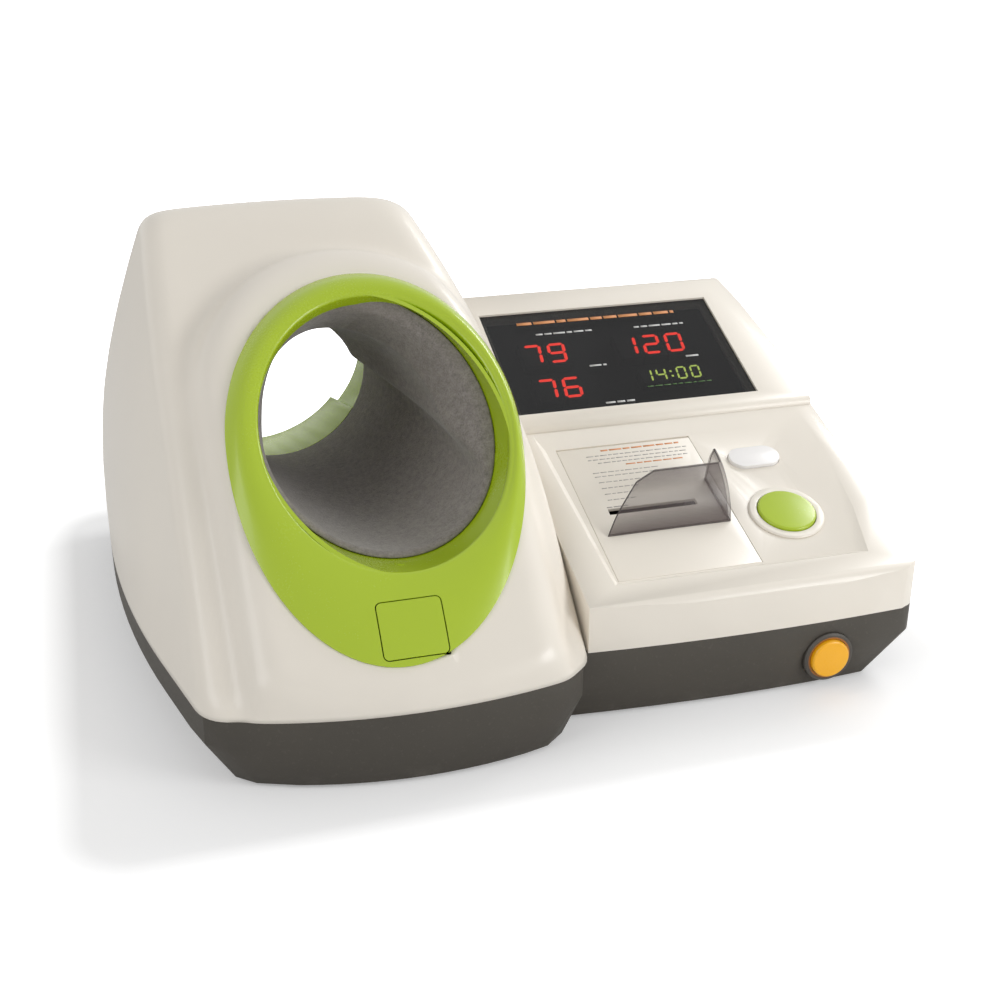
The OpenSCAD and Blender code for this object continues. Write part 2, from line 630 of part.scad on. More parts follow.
function front_arc(d) = arc(shell_front_c[0], shell_front_c[1], shell_edge - d, 180, 90 + panel_tilt);
module lower_body() in_outline(shell_left, 0) along_x(shell_left, 300) polygon(concat(
    [[control_front, seam_z]], front_arc(0),
    [[step_y - seat, shell_top(step_y - seat)], [step_y - seat, seam_line(step_y - seat)],
        [seam_back, seam_line(seam_back)], [control_back, seam_z]]));
module lower_cavity() in_outline(shell_left + wall, wall) along_x(shell_left, 300) polygon(concat(
    [[control_front + wall, seam_z - 1]], front_arc(wall),
    [[step_y - seat, shell_top(step_y - seat) - wall / cos(panel_tilt)], [step_y - seat, seam_z + 150],
        [back_y(seam_z + 150, wall), seam_z + 150], [back_y(seam_z - 1, wall), seam_z - 1]]));
module bowed_back(d) translate([0, 0, seam_z]) linear_extrude(200) polygon(concat(
    [[shell_left - 1, control_front], [side_x + 1, control_front]],
    [for (k = [0 : 12]) let (x = side_x + 1 - k * (side_x + 2 - shell_left) / 12)
        [x, seam_back - d - pow((x - side_x + 119) / 43, 2)]]));
// The display housing from its seam up; a cavity drops through the seam
module upper_body(d) intersection() {
    in_outline(shell_left + d, d) along_x(shell_left, 300) polygon(concat(
        [[step_y + d, seam_line(step_y) - (d > 0 ? 10 : 0)]],
        arc(lip_c[0], lip_c[1], lip_edge - d, 180, 90 + display_tilt),
        arc(back_c[0], back_c[1], shell_edge - d, 90 + display_tilt, back_lean),
        [for (z = [seam_line(seam_back) - (d > 0 ? 10 : 0)]) [back_y(z, d), z]]));
    bowed_back(d);
}
// The panel's recess: its floor widens towards the back, and its walls lean out
recess_left = shell_left + panel_left;
recess_right = side_x - panel_right;
recess_floor = [[recess_left, 1.5], [recess_right, 1.5], [recess_right + 5.4, 44], [recess_right + 8.5, 90],
    [recess_right + 7, 127], [recess_right + 3, panel_l], [recess_left - 6, panel_l]];
recess_rim = [[recess_left - 4, -4], [recess_right + 6, -4.5], [recess_right + 16.4, 39],
    [recess_right + 21.6, 80], [recess_right + 24, 112], [recess_right + 24, panel_l + 12.5],
    [recess_left - 12, panel_l + 12.5]];
module recess() at_panel() hull() {
    linear_extrude(0.02) polygon(recess_floor);
    translate([0, 0, rim_h]) linear_extrude(1) polygon(recess_rim);
}
module pan() at_panel() translate([recess_left - 13, -8, -wall])
    cube([recess_right - recess_left + 40, panel_l + 20, rim_h + 10]);
module pill(w, h, r) {
    for (x = [-1, 1]) translate([x * (w / 2 - r), 0]) circle(r = r);
    square([w - 2 * r, 2 * r], center = true);
}
start_at = [side_x - 67, 44.7];
print_at = [side_x - 65.5, 102.8];
door_x = recess_left + 1.5;
door_w = recess_right - recess_left - door_side;
door_s = 3.3;
door_hinge = [panel_l - 3.2, -2.4];
door_pin_r = 1.2;
keys_z = -17;
keys_x = start_at[0] - 24;
keys_w = 48;
keys_s = 20;
keys_l = 105;
board_t = 1.6;
keys_posts = [for (x = [4, keys_w - 4], s = [4, keys_l - 4]) [keys_x + x, keys_s + s]];
hinge_block = 6;
module control_housing() color(shell_white) difference() {
    union() {
        difference() {
            lower_body();
            difference() {
                lower_cavity();
                pan();
            }
            recess();
        }
        at_panel() {
            for (p = keys_posts) translate([p[0], p[1], keys_z + board_t])
                cylinder(r = 3, h = -keys_z - board_t - 1);
            for (x = [door_x - gap - hinge_block, door_x + door_w + gap])
                translate([x, door_hinge[0] - 3, door_hinge[1] - 3.5]) cube([hinge_block, 6, 5]);
        }
    }
    at_panel() {
        translate([door_x - gap, door_s - gap, -10])
            cube([door_w + 2 * gap, door_hinge[0] + 2.8 - door_s, 11]);
        translate([start_at[0], start_at[1], -wall - 1]) cylinder(r = start_r + 0.5, h = wall + 2);
        translate([print_at[0], print_at[1], -wall - 1]) linear_extrude(wall + 2)
            pill(print_w + 0.8, print_h + 0.8, print_h / 2 + 0.4);
        translate([door_x - gap - 5, door_hinge[0], door_hinge[1]]) rotate([0, 90, 0])
            cylinder(r = door_pin_r, h = door_w + 2 * gap + 10);
    }
}
window_x = shell_left + 8.3;
window_w = side_x - window_side - window_x;
window_l = control_back - step_y - window_ends;
window_s = 13.5;
window_drop = 1.5;
module at_display() translate([0, step_y, display_top(step_y)]) rotate([display_tilt, 0, 0]) children();
ledge = 4;
module on_window(grow, z, h) translate([window_x - grow, window_s - grow, z])
    cube([window_w + 2 * grow, window_l + 2 * grow, h]);
led_board_z = -14;
module display_housing() color(shell_white) difference() {
    union() {
        difference() {
            upper_body(0);
            upper_body(wall);
        }
        at_display() {
            on_window(ledge, -window_drop - window_t - seat - 3, 5);
            for (x = [-ledge / 2, window_w + ledge / 2], s = [-ledge / 2, window_l + ledge / 2])
                translate([window_x + x, window_s + s, led_board_z + board_t])
                    cylinder(r = 2, h = -led_board_z - board_t - 4);
        }
    }
    at_display() {
        on_window(seat, -window_drop - window_t - seat, 20);
        on_window(-ledge, -20, 40);
    }
}
module display_window() color([0.02, 0.02, 0.03]) at_display()
    on_window(0, -window_drop - window_t, window_t);
module display_board() color(board_green) at_display() on_window(ledge, led_board_z, board_t);
digit_top = -window_drop - window_t - 0.5;
// Blocks of seven-segment digits, each centred at x and s on the display board
module digit_blocks(places, w, h) at_display() for (p = places)
    translate([p[0] - w / 2, p[1] - h / 2, led_board_z + board_t])
        cube([w, h, digit_top - led_board_z - board_t]);
// Rows and columns of digits as shares of the window
upper_row = window_s + 0.606 * window_l;
lower_row = window_s + 0.258 * window_l;
clock_row = window_s + 0.294 * window_l;
left_group = window_x + 0.168 * window_w;
right_group = window_x + 0.577 * window_w;
clock_group = window_x + 0.596 * window_w;
big_w = 17.5;
big_l = 0.235 * window_l;
big_pitch = big_w + 1.1;
clock_w = 10;
clock_l = 0.136 * window_l;
module big_digits() color([0.12, 0.10, 0.10])
    digit_blocks([for (k = [0 : 2]) [right_group + big_pitch * k, upper_row],
        for (k = [0 : 1], s = [lower_row, upper_row]) [left_group + big_pitch * k, s]], big_w, big_l);
module clock_digits() color([0.10, 0.12, 0.10])
    digit_blocks([for (x = [0, 1.1, 2.7, 3.8]) [clock_group + clock_w * x, clock_row]], clock_w, clock_l);

// ---- printer -----------------------------------------------------------------------------
slot_s = 64;
slot_l = 5.5;
slot_x = door_x + 15.5;
slot_w = door_w - 36;
module x_bar(x, s, h, r, w) translate([x, s, h]) rotate([0, 90, 0]) cylinder(r = r, h = w);
module printer_door() color(shell_white) at_panel() difference() {
    union() {
        translate([door_x, door_s, -door_t]) cube([door_w, door_hinge[0] - door_s, door_t]);
        x_bar(door_x, door_hinge[0], door_hinge[1], 2.4, door_w);
    }
    translate([slot_x, slot_s, -door_t - 1]) cube([slot_w, slot_l, door_t + 2]);
    x_bar(door_x - 1, door_hinge[0], door_hinge[1], door_pin_r + fit, door_w + 2);
}
module door_hinge_pin() color(steel) at_panel()
    x_bar(door_x - gap - 5, door_hinge[0], door_hinge[1], door_pin_r, door_w + 2 * gap + 10);
hood_r = 43.5;
hood_c = [84.5, hood_h + 2 - hood_r];
hood_left = door_x + 4.4;
hood_right = door_x + door_w - 5.1;
hood_front = hood_c[0] - sqrt(hood_r * hood_r - hood_c[1] * hood_c[1]);
hood_edge = [[40.8, 72.8], [26.1, 66.2], [17.6, 58.1], [9.1, 50.6], [0, 41.5]];
module paper_hood() color([0.45, 0.40, 0.38, 0.6]) at_panel() {
    intersection() {
        difference() {
            x_bar(hood_left, hood_c[0], hood_c[1], hood_r, hood_right - hood_left);
            x_bar(hood_left - 1, hood_c[0], hood_c[1], hood_r - hood_t, hood_right - hood_left + 2);
        }
        linear_extrude(50) polygon(concat([[hood_left, hood_front - 1], [hood_right, hood_front - 1],
            [hood_right, 73]], [for (p = hood_edge) [hood_left + p.x, p.y]]));
    }
    intersection() {
        x_bar(hood_right - hood_t, hood_c[0], hood_c[1], hood_r, hood_t);
        translate([hood_right - hood_t, hood_front - 1, 0]) rotate([90, 0, 90]) linear_extrude(hood_t)
            polygon([[0, 0], [0, 50], [36, 50], [43, 26], [45, 20], [45, 0]]);
    }
}
bay_x = door_x - 8.5;
bay_w = door_w + 12;
bay_s = 6;
bay_l = 84;
bay_top = -wall - seat;
bay_h = 48.8;
roll_at = [32, -28];
roll_x = bay_x + bay_w / 2 - roll_w / 2;
spindle_r = 5;
core_r = 8;
module paper_bay() color([0.16, 0.16, 0.17]) at_panel() difference() {
    translate([bay_x, bay_s, bay_top - bay_h]) cube([bay_w, bay_l, bay_h]);
    translate([bay_x + wall, bay_s + wall, bay_top - bay_h + wall])
        cube([bay_w - 2 * wall, bay_l - 2 * wall, bay_h]);
    x_bar(bay_x - 1, roll_at[0], roll_at[1], spindle_r, bay_w + 2);
}
module paper_roll() color([0.96, 0.96, 0.95]) at_panel() difference() {
    x_bar(roll_x, roll_at[0], roll_at[1], roll_r, roll_w);
    x_bar(roll_x - 1, roll_at[0], roll_at[1], core_r, roll_w + 2);
}
module paper_core() color([0.6, 0.48, 0.35]) at_panel() difference() {
    x_bar(roll_x, roll_at[0], roll_at[1], core_r, roll_w);
    x_bar(roll_x - 1, roll_at[0], roll_at[1], spindle_r + fit, roll_w + 2);
}
module paper_spindle() color(steel) at_panel() {
    x_bar(bay_x, roll_at[0], roll_at[1], spindle_r, bay_w);
    for (x = [roll_x - 2 - gap, roll_x + roll_w + gap]) x_bar(x, roll_at[0], roll_at[1], spindle_r + 3, 2);
}
frame_x = bay_x + wall + 18;
frame_w = bay_w - 2 * wall - 38;
plate_t = 2;
platen_at = [60, -15];
platen_shaft = 2;
feed_m = 0.8;
platen_teeth = 24;
feed_teeth = 12;
feed_reach = (platen_teeth + feed_teeth) * feed_m / 2 + 0.1;
feed_turn = -80;
feed_at = platen_at + feed_reach * [cos(feed_turn), sin(feed_turn)];
feed_shaft = 1;
train_x = frame_x + frame_w + 3;
module print_frame() color(steel) at_panel() difference() {
    for (x = [frame_x, frame_x + frame_w - plate_t])
        translate([x, platen_at[0] - 5, bay_top - bay_h + wall + 0.1]) cube([plate_t, 25, bay_h - wall - 2]);
    x_bar(frame_x - 1, platen_at[0], platen_at[1], platen_shaft + fit, frame_w + 2);
    x_bar(frame_x + frame_w - plate_t - 1, feed_at[0], feed_at[1], feed_shaft + 0.5, plate_t + 2);
}
module platen_roller() color([0.1, 0.1, 0.1]) at_panel() {
    x_bar(frame_x + plate_t + gap, platen_at[0], platen_at[1], platen_r, frame_w - 2 * plate_t - 2 * gap);
    x_bar(frame_x - 2, platen_at[0], platen_at[1], platen_shaft, train_x + 4 - frame_x + 2);
}
module platen_gear() color([0.9, 0.9, 0.88]) at_panel() translate([train_x, platen_at[0], platen_at[1]])
    rotate([90, 0, 90]) difference() {
        rotate([0, 0, feed_turn]) linear_extrude(4) gear_outline(platen_teeth, feed_m);
        translate([0, 0, -1]) cylinder(r = platen_shaft, h = 6);
    }
module feed_pinion() color([0.9, 0.9, 0.88]) at_panel() translate([train_x, feed_at[0], feed_at[1]])
    rotate([90, 0, 90]) difference() {
        rotate([0, 0, feed_turn + 180 + 180 / feed_teeth]) linear_extrude(4) gear_outline(feed_teeth, feed_m);
        translate([0, 0, -1]) cylinder(r = feed_shaft + fit, h = 6);
    }
module feed_motor() color(steel) at_panel() {
    x_bar(frame_x + frame_w - plate_t - 20, feed_at[0], feed_at[1], 7, 20);
    x_bar(frame_x + frame_w - plate_t - 1, feed_at[0], feed_at[1], feed_shaft,
        train_x + 5 - frame_x - frame_w + plate_t);
}
module thermal_head() color([0.8, 0.8, 0.78]) at_panel()
    translate([frame_x + plate_t + seat, platen_at[0] + platen_r + gap, platen_at[1] - 7])
        cube([frame_w - 2 * plate_t - 2 * seat, 3, 16]);

// ---- buttons -----------------------------------------------------------------------------
flange_h = 1.8;
switch_h = 5;
key_top = keys_z + board_t + switch_h;
stem_end = key_top + press + gap;
module key_stem() {
    translate([0, 0, stem_end]) cylinder(r = 3, h = -wall - gap - stem_end);
}
module start_button() color(lime) at_panel() translate([start_at[0], start_at[1], 0]) {
    translate([0, 0, -wall - gap - flange_h]) cylinder(r = start_r + 2, h = flange_h);
    translate([0, 0, -wall - gap]) cylinder(r = start_r, h = wall + gap + 2.6);
    translate([0, 0, 2.6]) cylinder(r1 = start_r, r2 = start_r - 1, h = 0.8);
    key_stem();
}
module start_ring() color(shell_white) at_panel() translate([start_at[0], start_at[1], 0.02]) difference() {
    union() {
        cylinder(r = start_r + 6, h = 0.8);
        translate([0, 0, 0.8]) cylinder(r1 = start_r + 6, r2 = start_r + 5, h = 0.8);
    }
    translate([0, 0, -1]) cylinder(r = start_r + 0.5, h = 4);
}
module print_button() color(shell_white) at_panel() translate([print_at[0], print_at[1], 0]) {
    translate([0, 0, -wall - gap - flange_h]) linear_extrude(flange_h)
        pill(print_w + 4, print_h, print_h / 2 + 2);
    translate([0, 0, -wall - gap]) linear_extrude(wall + gap + 2.4) pill(print_w, print_h, print_h / 2);
    key_stem();
}
module key_board() color(board_green) at_panel()
    translate([keys_x, keys_s, keys_z]) cube([keys_w, keys_l, board_t]);
module key_switches() color([0.1, 0.1, 0.1]) at_panel() for (p = [start_at, print_at])
    translate([p[0] - 3, p[1] - 3, keys_z + board_t]) cube([6, 6, switch_h]);
module at_stop() translate([stop_x, control_front, stop_z]) rotate([-90, 0, 0]) children();
stop_back = 14;
module stop_button() color(amber) at_stop() {
    translate([0, 0, -stop_out]) cylinder(r1 = stop_r - 1, r2 = stop_r, h = 1);
    translate([0, 0, 1 - stop_out]) cylinder(r = stop_r, h = stop_back + stop_out - 1 + gap);
    translate([0, 0, stop_back + gap]) cylinder(r = stop_r + 2, h = flange_h);
    translate([0, 0, stop_back + gap + flange_h]) cylinder(r = 3, h = 4);
}
module stop_collar() color([0.72, 0.42, 0.05]) at_stop() difference() {
    union() {
        translate([0, 0, -2]) cylinder(r1 = stop_r + 3, r2 = stop_r + 4, h = 1);
        translate([0, 0, -1]) cylinder(r = stop_r + 4, h = stop_back + 1);
    }
    translate([0, 0, -3]) cylinder(r = stop_r + 0.4, h = stop_back + 4);
}
module stop_switch() color([0.1, 0.1, 0.1])
    translate([stop_x - 6, control_front + stop_back + gap + flange_h + 4 + press + gap, floor_z])
        cube([12, 8, stop_z + 6 - floor_z]);

// ---- electronics and air -----------------------------------------------------------------
module main_board() color(board_green) translate([board_at[0], board_at[1], floor_z + post_h])
    cube([board_w, board_d, board_t]);
board_top = floor_z + post_h + board_t;
chips = [[30, 30, 22, 22, 2.5], [70, 40, 16, 16, 2], [30, 70, 30, 12, 3], [80, 75, 24, 10, 8],
    [95, 15, 12, 18, 10]];
module board_chips() color([0.1, 0.1, 0.1]) for (c = chips)
    translate([board_at[0] + c[0], board_at[1] + c[1], board_top]) cube([c[2], c[3], c[4]]);
sensor_at = board_at + [8, 12];
tube_r = 2.5;
run_z = seam_z - 5;
module pressure_sensor() color([0.2, 0.2, 0.22]) {
    translate([sensor_at[0] - 5, sensor_at[1] - 5, board_top]) cube([10, 10, 6]);
    translate([sensor_at[0], sensor_at[1], board_top + 6]) cylinder(r = tube_r, h = 5);
}
pump_at = [106 - side_x, tunnel_at.y - 22.6, 24];
pump_r = 13.5;
module air_pump() color(steel) {
    translate(pump_at - [29, 0, 0]) rotate([0, 90, 0]) cylinder(r = pump_r, h = 58);
    translate(pump_at + [28, -14, -16]) cube([28, 28, 32]);
    translate(pump_at + [42, 0, 15]) cylinder(r = tube_r, h = 8);
}
module pump_cradle() color(base_grey) difference() {
    translate([pump_at.x - 20, pump_at.y - 17, floor_z]) cube([40, 34, pump_at.z - floor_z - 2]);
    translate(pump_at - [29, 0, 0]) rotate([0, 90, 0]) cylinder(r = pump_r + seat, h = 58);
}
module valve(x, y) {
    translate([x - 9, y - 8, floor_z]) cube([18, 16, 20]);
    translate([x, y, floor_z + 20]) cylinder(r = tube_r, h = 4);
}
bleed_at = [-60, nipple_y - 45];
dump_at = [-60, nipple_y];
module bleed_valve() color([0.75, 0.75, 0.72]) valve(bleed_at[0], bleed_at[1]);
module dump_valve() color([0.2, 0.25, 0.35]) valve(dump_at[0], dump_at[1]);
// Straight runs of tube between points, with a round elbow at each bend
module tube(points) for (k = [0 : len(points) - 2]) let (v = points[k + 1] - points[k]) {
    translate(points[k]) rotate([0, acos(v.z / norm(v)), atan2(v.y, v.x)]) cylinder(r = tube_r, h = norm(v));
    if (k > 0) translate(points[k]) sphere(r = tube_r + 0.8);
}
pump_out = pump_at + [42, 0, 23];
module air_tube() color([0.85, 0.85, 0.80]) {
    tube([pump_out, [pump_out.x, pump_out.y, 58], [nipple_x, nipple_y, 58], [nipple_x, nipple_y, nipple_z]]);
    tube([[nipple_x, nipple_y, 58], [nipple_x, nipple_y, run_z], [dump_at[0], dump_at[1], run_z],
        [sensor_at[0], sensor_at[1], run_z], [sensor_at[0], sensor_at[1], board_top + 11]]);
    tube([[dump_at[0], dump_at[1], run_z], [dump_at[0], dump_at[1], floor_z + 24]]);
    tube([[dump_at[0], dump_at[1], run_z], [bleed_at[0], bleed_at[1], run_z],
        [bleed_at[0], bleed_at[1], floor_z + 24]]);
}
supply_w = 78;
supply_l = 56;
supply_h = 32;
module power_supply() color(steel)
    translate([side_x - supply_w - 44, control_back - supply_l - 29, floor_z])
        cube([supply_w, supply_l, supply_h]);
inlet_deep = 24;
module ac_inlet() color([0.08, 0.08, 0.08]) translate([inlet_x, control_back, inlet_z]) difference() {
    union() {
        translate([-inlet_w / 2, -inlet_deep, -inlet_h / 2]) cube([inlet_w, inlet_deep + 0.5, inlet_h]);
        translate([-inlet_w / 2 - 0.7, 0.1, -inlet_h / 2 - 0.7]) cube([inlet_w + 1.4, 1.2, inlet_h + 1.4]);
    }
    difference() {
        translate([-11.5, 2 - inlet_deep, -7.5]) cube([23, inlet_deep, 15]);
        for (x = [-7, 0, 7]) translate([x - 1, 2 - inlet_deep, -2]) cube([2, 15, 4]);
    }
}
rocker_turn = 8;
rocker_pin = control_back - 4;
module power_switch() color([0.08, 0.08, 0.08]) translate([rocker_x, 0, inlet_z]) difference() {
    union() {
        translate([-rocker_w / 2, control_back - 18, -rocker_h / 2]) cube([rocker_w, 18.5, rocker_h]);
        translate([-rocker_w / 2 - 0.7, control_back + 0.1, -rocker_h / 2 - 0.7])
            cube([rocker_w + 1.4, 1.2, rocker_h + 1.4]);
    }
    translate([-8.2, rocker_pin - 6, -5.3]) cube([16.4, 20, 10.6]);
    translate([0, rocker_pin, -6.5 - seat]) cylinder(r = 1 + fit, h = 13 + 2 * seat);
}
module power_rocker() color([0.15, 0.15, 0.15]) translate([rocker_x, rocker_pin, inlet_z]) {
    translate([0, 0, -5]) linear_extrude(10)
        polygon([[-7.4, -1.5], [0, -3], [7.4, -1.5], [7.2, 6.4], [0, 5.4], [-7.2, 6.4]]);
    translate([0, 0, -6.2]) cylinder(r = 1, h = 12.4);
}

base_tray();
feet();
base_screws();
tower_housing();
front_ring();
rear_ring();
ring_screw_caps();
elbow_plate();
elbow_hinge_pin();
elbow_switch();
cuff();
air_bladder();
cuff_drum();
drum_cradles();
winding_gear();
winding_pinion();
winding_motor();
motor_bracket();
control_housing();
display_housing();
display_window();
display_board();
big_digits();
clock_digits();
printer_door();
door_hinge_pin();
paper_hood();
paper_bay();
paper_roll();
paper_core();
paper_spindle();
print_frame();
platen_roller();
platen_gear();
thermal_head();
feed_motor();
feed_pinion();
start_button();
start_ring();
print_button();
stop_button();
stop_collar();
stop_switch();
key_board();
key_switches();
main_board();
board_chips();
pressure_sensor();
air_pump();
pump_cradle();
bleed_valve();
dump_valve();
air_tube();
power_supply();
ac_inlet();
power_switch();
power_rocker();
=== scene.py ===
from math import atan2, cos, pi, radians, sin, tan

import bpy
import numpy as np
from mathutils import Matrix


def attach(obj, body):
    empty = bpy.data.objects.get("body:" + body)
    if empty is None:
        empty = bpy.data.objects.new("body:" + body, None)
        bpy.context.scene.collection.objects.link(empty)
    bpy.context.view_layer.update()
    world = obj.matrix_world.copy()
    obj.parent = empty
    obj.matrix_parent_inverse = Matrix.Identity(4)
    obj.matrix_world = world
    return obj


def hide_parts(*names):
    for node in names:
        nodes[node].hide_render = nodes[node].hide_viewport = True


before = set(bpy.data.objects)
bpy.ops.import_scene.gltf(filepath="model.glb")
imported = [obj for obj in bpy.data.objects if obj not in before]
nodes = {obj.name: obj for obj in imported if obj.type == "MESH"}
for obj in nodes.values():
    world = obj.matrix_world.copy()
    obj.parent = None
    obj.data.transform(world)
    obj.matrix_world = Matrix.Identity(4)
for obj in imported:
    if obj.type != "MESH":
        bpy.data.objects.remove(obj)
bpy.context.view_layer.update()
mm = 0.001
print("frame loaded:", len(nodes), "nodes")


# ---- shader building ----

def colour(r, g, b):
    # screen colour 0-255 to linear light: ((c + 0.055) / 1.055) ** 2.4
    c = np.array([r, g, b]) / 255
    return (*np.where(c <= 0.04045, c / 12.92, ((c + 0.055) / 1.055) ** 2.4).tolist(), 1)


class Sock:
    # an output socket: maths written on it adds Math nodes
    def __init__(self, look, out):
        self.look = look
        self.out = out

    def math(self, operation, first, second=0.0):
        return self.look.add("ShaderNodeMath", {"operation": operation}, {0: first, 1: second})

    def __add__(self, other):
        return self.math("ADD", self, other)

    def __sub__(self, other):
        return self.math("SUBTRACT", self, other)

    def __rsub__(self, other):
        return self.math("SUBTRACT", other, self)

    def __mul__(self, other):
        return self.math("MULTIPLY", self, other)

    def power(self, other):
        return self.math("POWER", self, other)

    __radd__ = __add__
    __rmul__ = __mul__


class Look:
    # one material: a Principled shader whose sockets are fed by numbers or by Socks
    def __init__(self, name, fixed):
        self.material = bpy.data.materials.new(name)
        self.material.use_nodes = True
        self.tree = self.material.node_tree
        self.tree.nodes.clear()
        self.shader = self.tree.nodes.new("ShaderNodeBsdfPrincipled")
        self.end = self.tree.nodes.new("ShaderNodeOutputMaterial")
        self.tree.links.new(self.shader.outputs[0], self.end.inputs[0])
        self.give(self.shader, fixed)

    def give(self, node, sockets):
        for key, value in sockets.items():
            if isinstance(value, Sock):
                self.tree.links.new(value.out, node.inputs[key])
            else:
                node.inputs[key].default_value = value

    def add(self, kind, settings=None, sockets=None, output=0):
        node = self.tree.nodes.new(kind)
        for key, value in (settings or {}).items():
            setattr(node, key, value)
        self.give(node, sockets or {})
        return Sock(self, node.outputs[output])

    def place(self, uv=False):
        return self.add("ShaderNodeTexCoord", output=2 if uv else 3)

    def noise(self, where, scale, detail=2.0, rough=0.5):
        values = {"Vector": where, "Scale": scale, "Detail": detail, "Roughness": rough}
        return self.add("ShaderNodeTexNoise", {}, values)

    def between(self, low, high, factor):
        return self.add("ShaderNodeMix", {"data_type": "RGBA"}, {0: factor, 6: low, 7: high}, output=2)

    def axes(self, where):
        split = self.add("ShaderNodeSeparateXYZ", {}, {0: where})
        return [Sock(self, out) for out in split.out.node.outputs]

    def step(self, value, start, stop):
        # 0 below start, 1 above stop
        ends = {"Value": value, "From Min": start, "From Max": stop}
        return self.add("ShaderNodeMapRange", {"clamp": True}, ends)

    def bump(self, height, depth, strength=1.0):
        values = {"Height": height, "Distance": depth, "Strength": strength}
        self.give(self.shader, {"Normal": self.add("ShaderNodeBump", {}, values)})


def scaled(tone, k):
    return (*[c * k for c in tone[:3]], 1)


# Moulded plastics, metals and rubbers: colour, how much it varies, gloss, and the size and depth of the grain
finishes = {
    "shell": dict(tone=colour(238, 231, 219), vary=0.05, rough=0.34, grain=900, deep=0.000012, coat=0.15),
    "base": dict(tone=colour(70, 65, 57), vary=0.14, rough=0.55, grain=1500, deep=0.00006, coat=0.0),
    "lime": dict(tone=colour(172, 197, 28), vary=0.05, rough=0.26, grain=700, deep=0.000008, coat=0.25),
    "dark_plastic": dict(tone=colour(34, 34, 36), vary=0.15, rough=0.5, grain=1200, deep=0.00004, coat=0.0),
    "acetal": dict(tone=colour(226, 223, 214), vary=0.06, rough=0.4, grain=800, deep=0.00001, coat=0.0),
    "steel": dict(tone=colour(176, 178, 182), vary=0.12, rough=0.33, grain=2200, deep=0.00001, coat=0.0),
    "board": dict(tone=colour(30, 92, 56), vary=0.3, rough=0.45, grain=400, deep=0.00002, coat=0.2),
    "bladder": dict(tone=colour(52, 52, 57), vary=0.15, rough=0.7, grain=900, deep=0.00006, coat=0.0),
    "paper": dict(tone=colour(240, 240, 236), vary=0.05, rough=0.8, grain=1800, deep=0.00003, coat=0.0),
    "card": dict(tone=colour(160, 128, 92), vary=0.2, rough=0.85, grain=1400, deep=0.00006, coat=0.0),
    "rubber": dict(tone=colour(30, 30, 30), vary=0.2, rough=0.8, grain=1300, deep=0.00008, coat=0.0),
    "button_white": dict(tone=colour(244, 242, 240), vary=0.03, rough=0.3, grain=900, deep=0.000008,
                         coat=0.2),
    "amber_rim": dict(tone=colour(150, 92, 24), vary=0.15, rough=0.35, grain=900, deep=0.000008, coat=0.2),
    "amber": dict(tone=colour(255, 184, 14), vary=0.08, rough=0.28, grain=900, deep=0.000008, coat=0.3),
    "tube": dict(tone=colour(214, 214, 204), vary=0.08, rough=0.35, grain=700, deep=0.00001, coat=0.1),
    "big_led": dict(tone=colour(30, 22, 22), vary=0.2, rough=0.5, grain=900, deep=0.00002, coat=0.0),
    "clock_led": dict(tone=colour(24, 28, 24), vary=0.2, rough=0.5, grain=900, deep=0.00002, coat=0.0),
}


def moulded(name, finish):
    # colour drifts slowly over the piece, the grain is a fine noise, and the gloss follows both
    look = Look(name, {"Coat Weight": finish["coat"], "Coat Roughness": 0.12})
    spot = look.place()
    cloud = look.noise(spot, 14, 3)
    grain = look.noise(spot, finish["grain"], 2)
    tone = finish["tone"]
    mixed = look.between(scaled(tone, 1 - finish["vary"]), scaled(tone, 1 + finish["vary"] / 2), cloud)
    rough = finish["rough"] - 0.06 + 0.08 * cloud + 0.04 * grain
    look.give(look.shader, {"Base Color": mixed, "Roughness": rough})
    look.bump(grain, finish["deep"])
    if name == "steel":
        look.give(look.shader, {"Metallic": 1.0})
    return look


looks = {name: moulded(name, finish) for name, finish in finishes.items()}


def scuffedBase():
    # the dark base is rubbed paler along its lowest edge, in patches
    look = looks["base"]
    x, y, z = look.axes(look.place())
    patches = look.noise(look.place(), 60, 4, 0.6)
    rub = (1 - look.step(z, 0.004, 0.013)) * look.step(patches, 0.5, 0.72)
    grain = look.noise(look.place(), 500, 2)
    plain = look.between(colour(61, 57, 50), colour(75, 70, 62), look.noise(look.place(), 14, 3))
    speckled = look.between(plain, colour(84, 79, 71), look.step(grain, 0.62, 0.7) * 0.35)
    look.give(look.shader, {"Base Color": look.between(speckled, colour(98, 93, 85), rub * 0.4)})


scuffedBase()


def tintedGlass(name, tone, alpha, rough):
    look = Look(name, {"Alpha": alpha, "Specular IOR Level": 0.35})
    smear = look.noise(look.place(), 22, 4, 0.6)
    look.give(look.shader, {"Base Color": look.between(tone, scaled(tone, 1.5), smear),
                            "Roughness": rough + 0.06 * smear})
    return look


looks["display_glass"] = tintedGlass("displayGlass", colour(4, 4, 5), 0.6, 0.06)
looks["smoked"] = tintedGlass("smokedHood", colour(96, 86, 84), 0.72, 0.16)


panel = {"at": (0, -150.3, 81.8), "tilt": 17.5}
# the hood's opacities: a clear base, with painted shade at its crown and foot and a painted highlight between
hood = {"height": 0.045, "clear": 0.3, "crown": 0.55, "foot": 0.3}


def hoodPaintedLight():
    # the hood's tint over its height above the panel, with painted light in it: clearest half way up as a
    # painted highlight where the pale panel shows through, deepest at its crown as painted shade, and deeper
    # again at its foot as painted shade
    look = looks["smoked"]
    x, y, z = look.axes(look.place())
    tilt, (_, atY, atZ) = radians(panel["tilt"]), panel["at"]
    height = (y - atY * mm) * -sin(tilt) + (z - atZ * mm) * cos(tilt)
    high = look.step(height, 0.0, hood["height"])
    crown = look.step(high, 0.45, 0.8) * hood["crown"]
    foot = (1 - look.step(high, 0.0, 0.3)) * hood["foot"]
    look.give(look.shader, {"Alpha": crown + foot + hood["clear"]})


hoodPaintedLight()


# ---- meshes from numpy ----

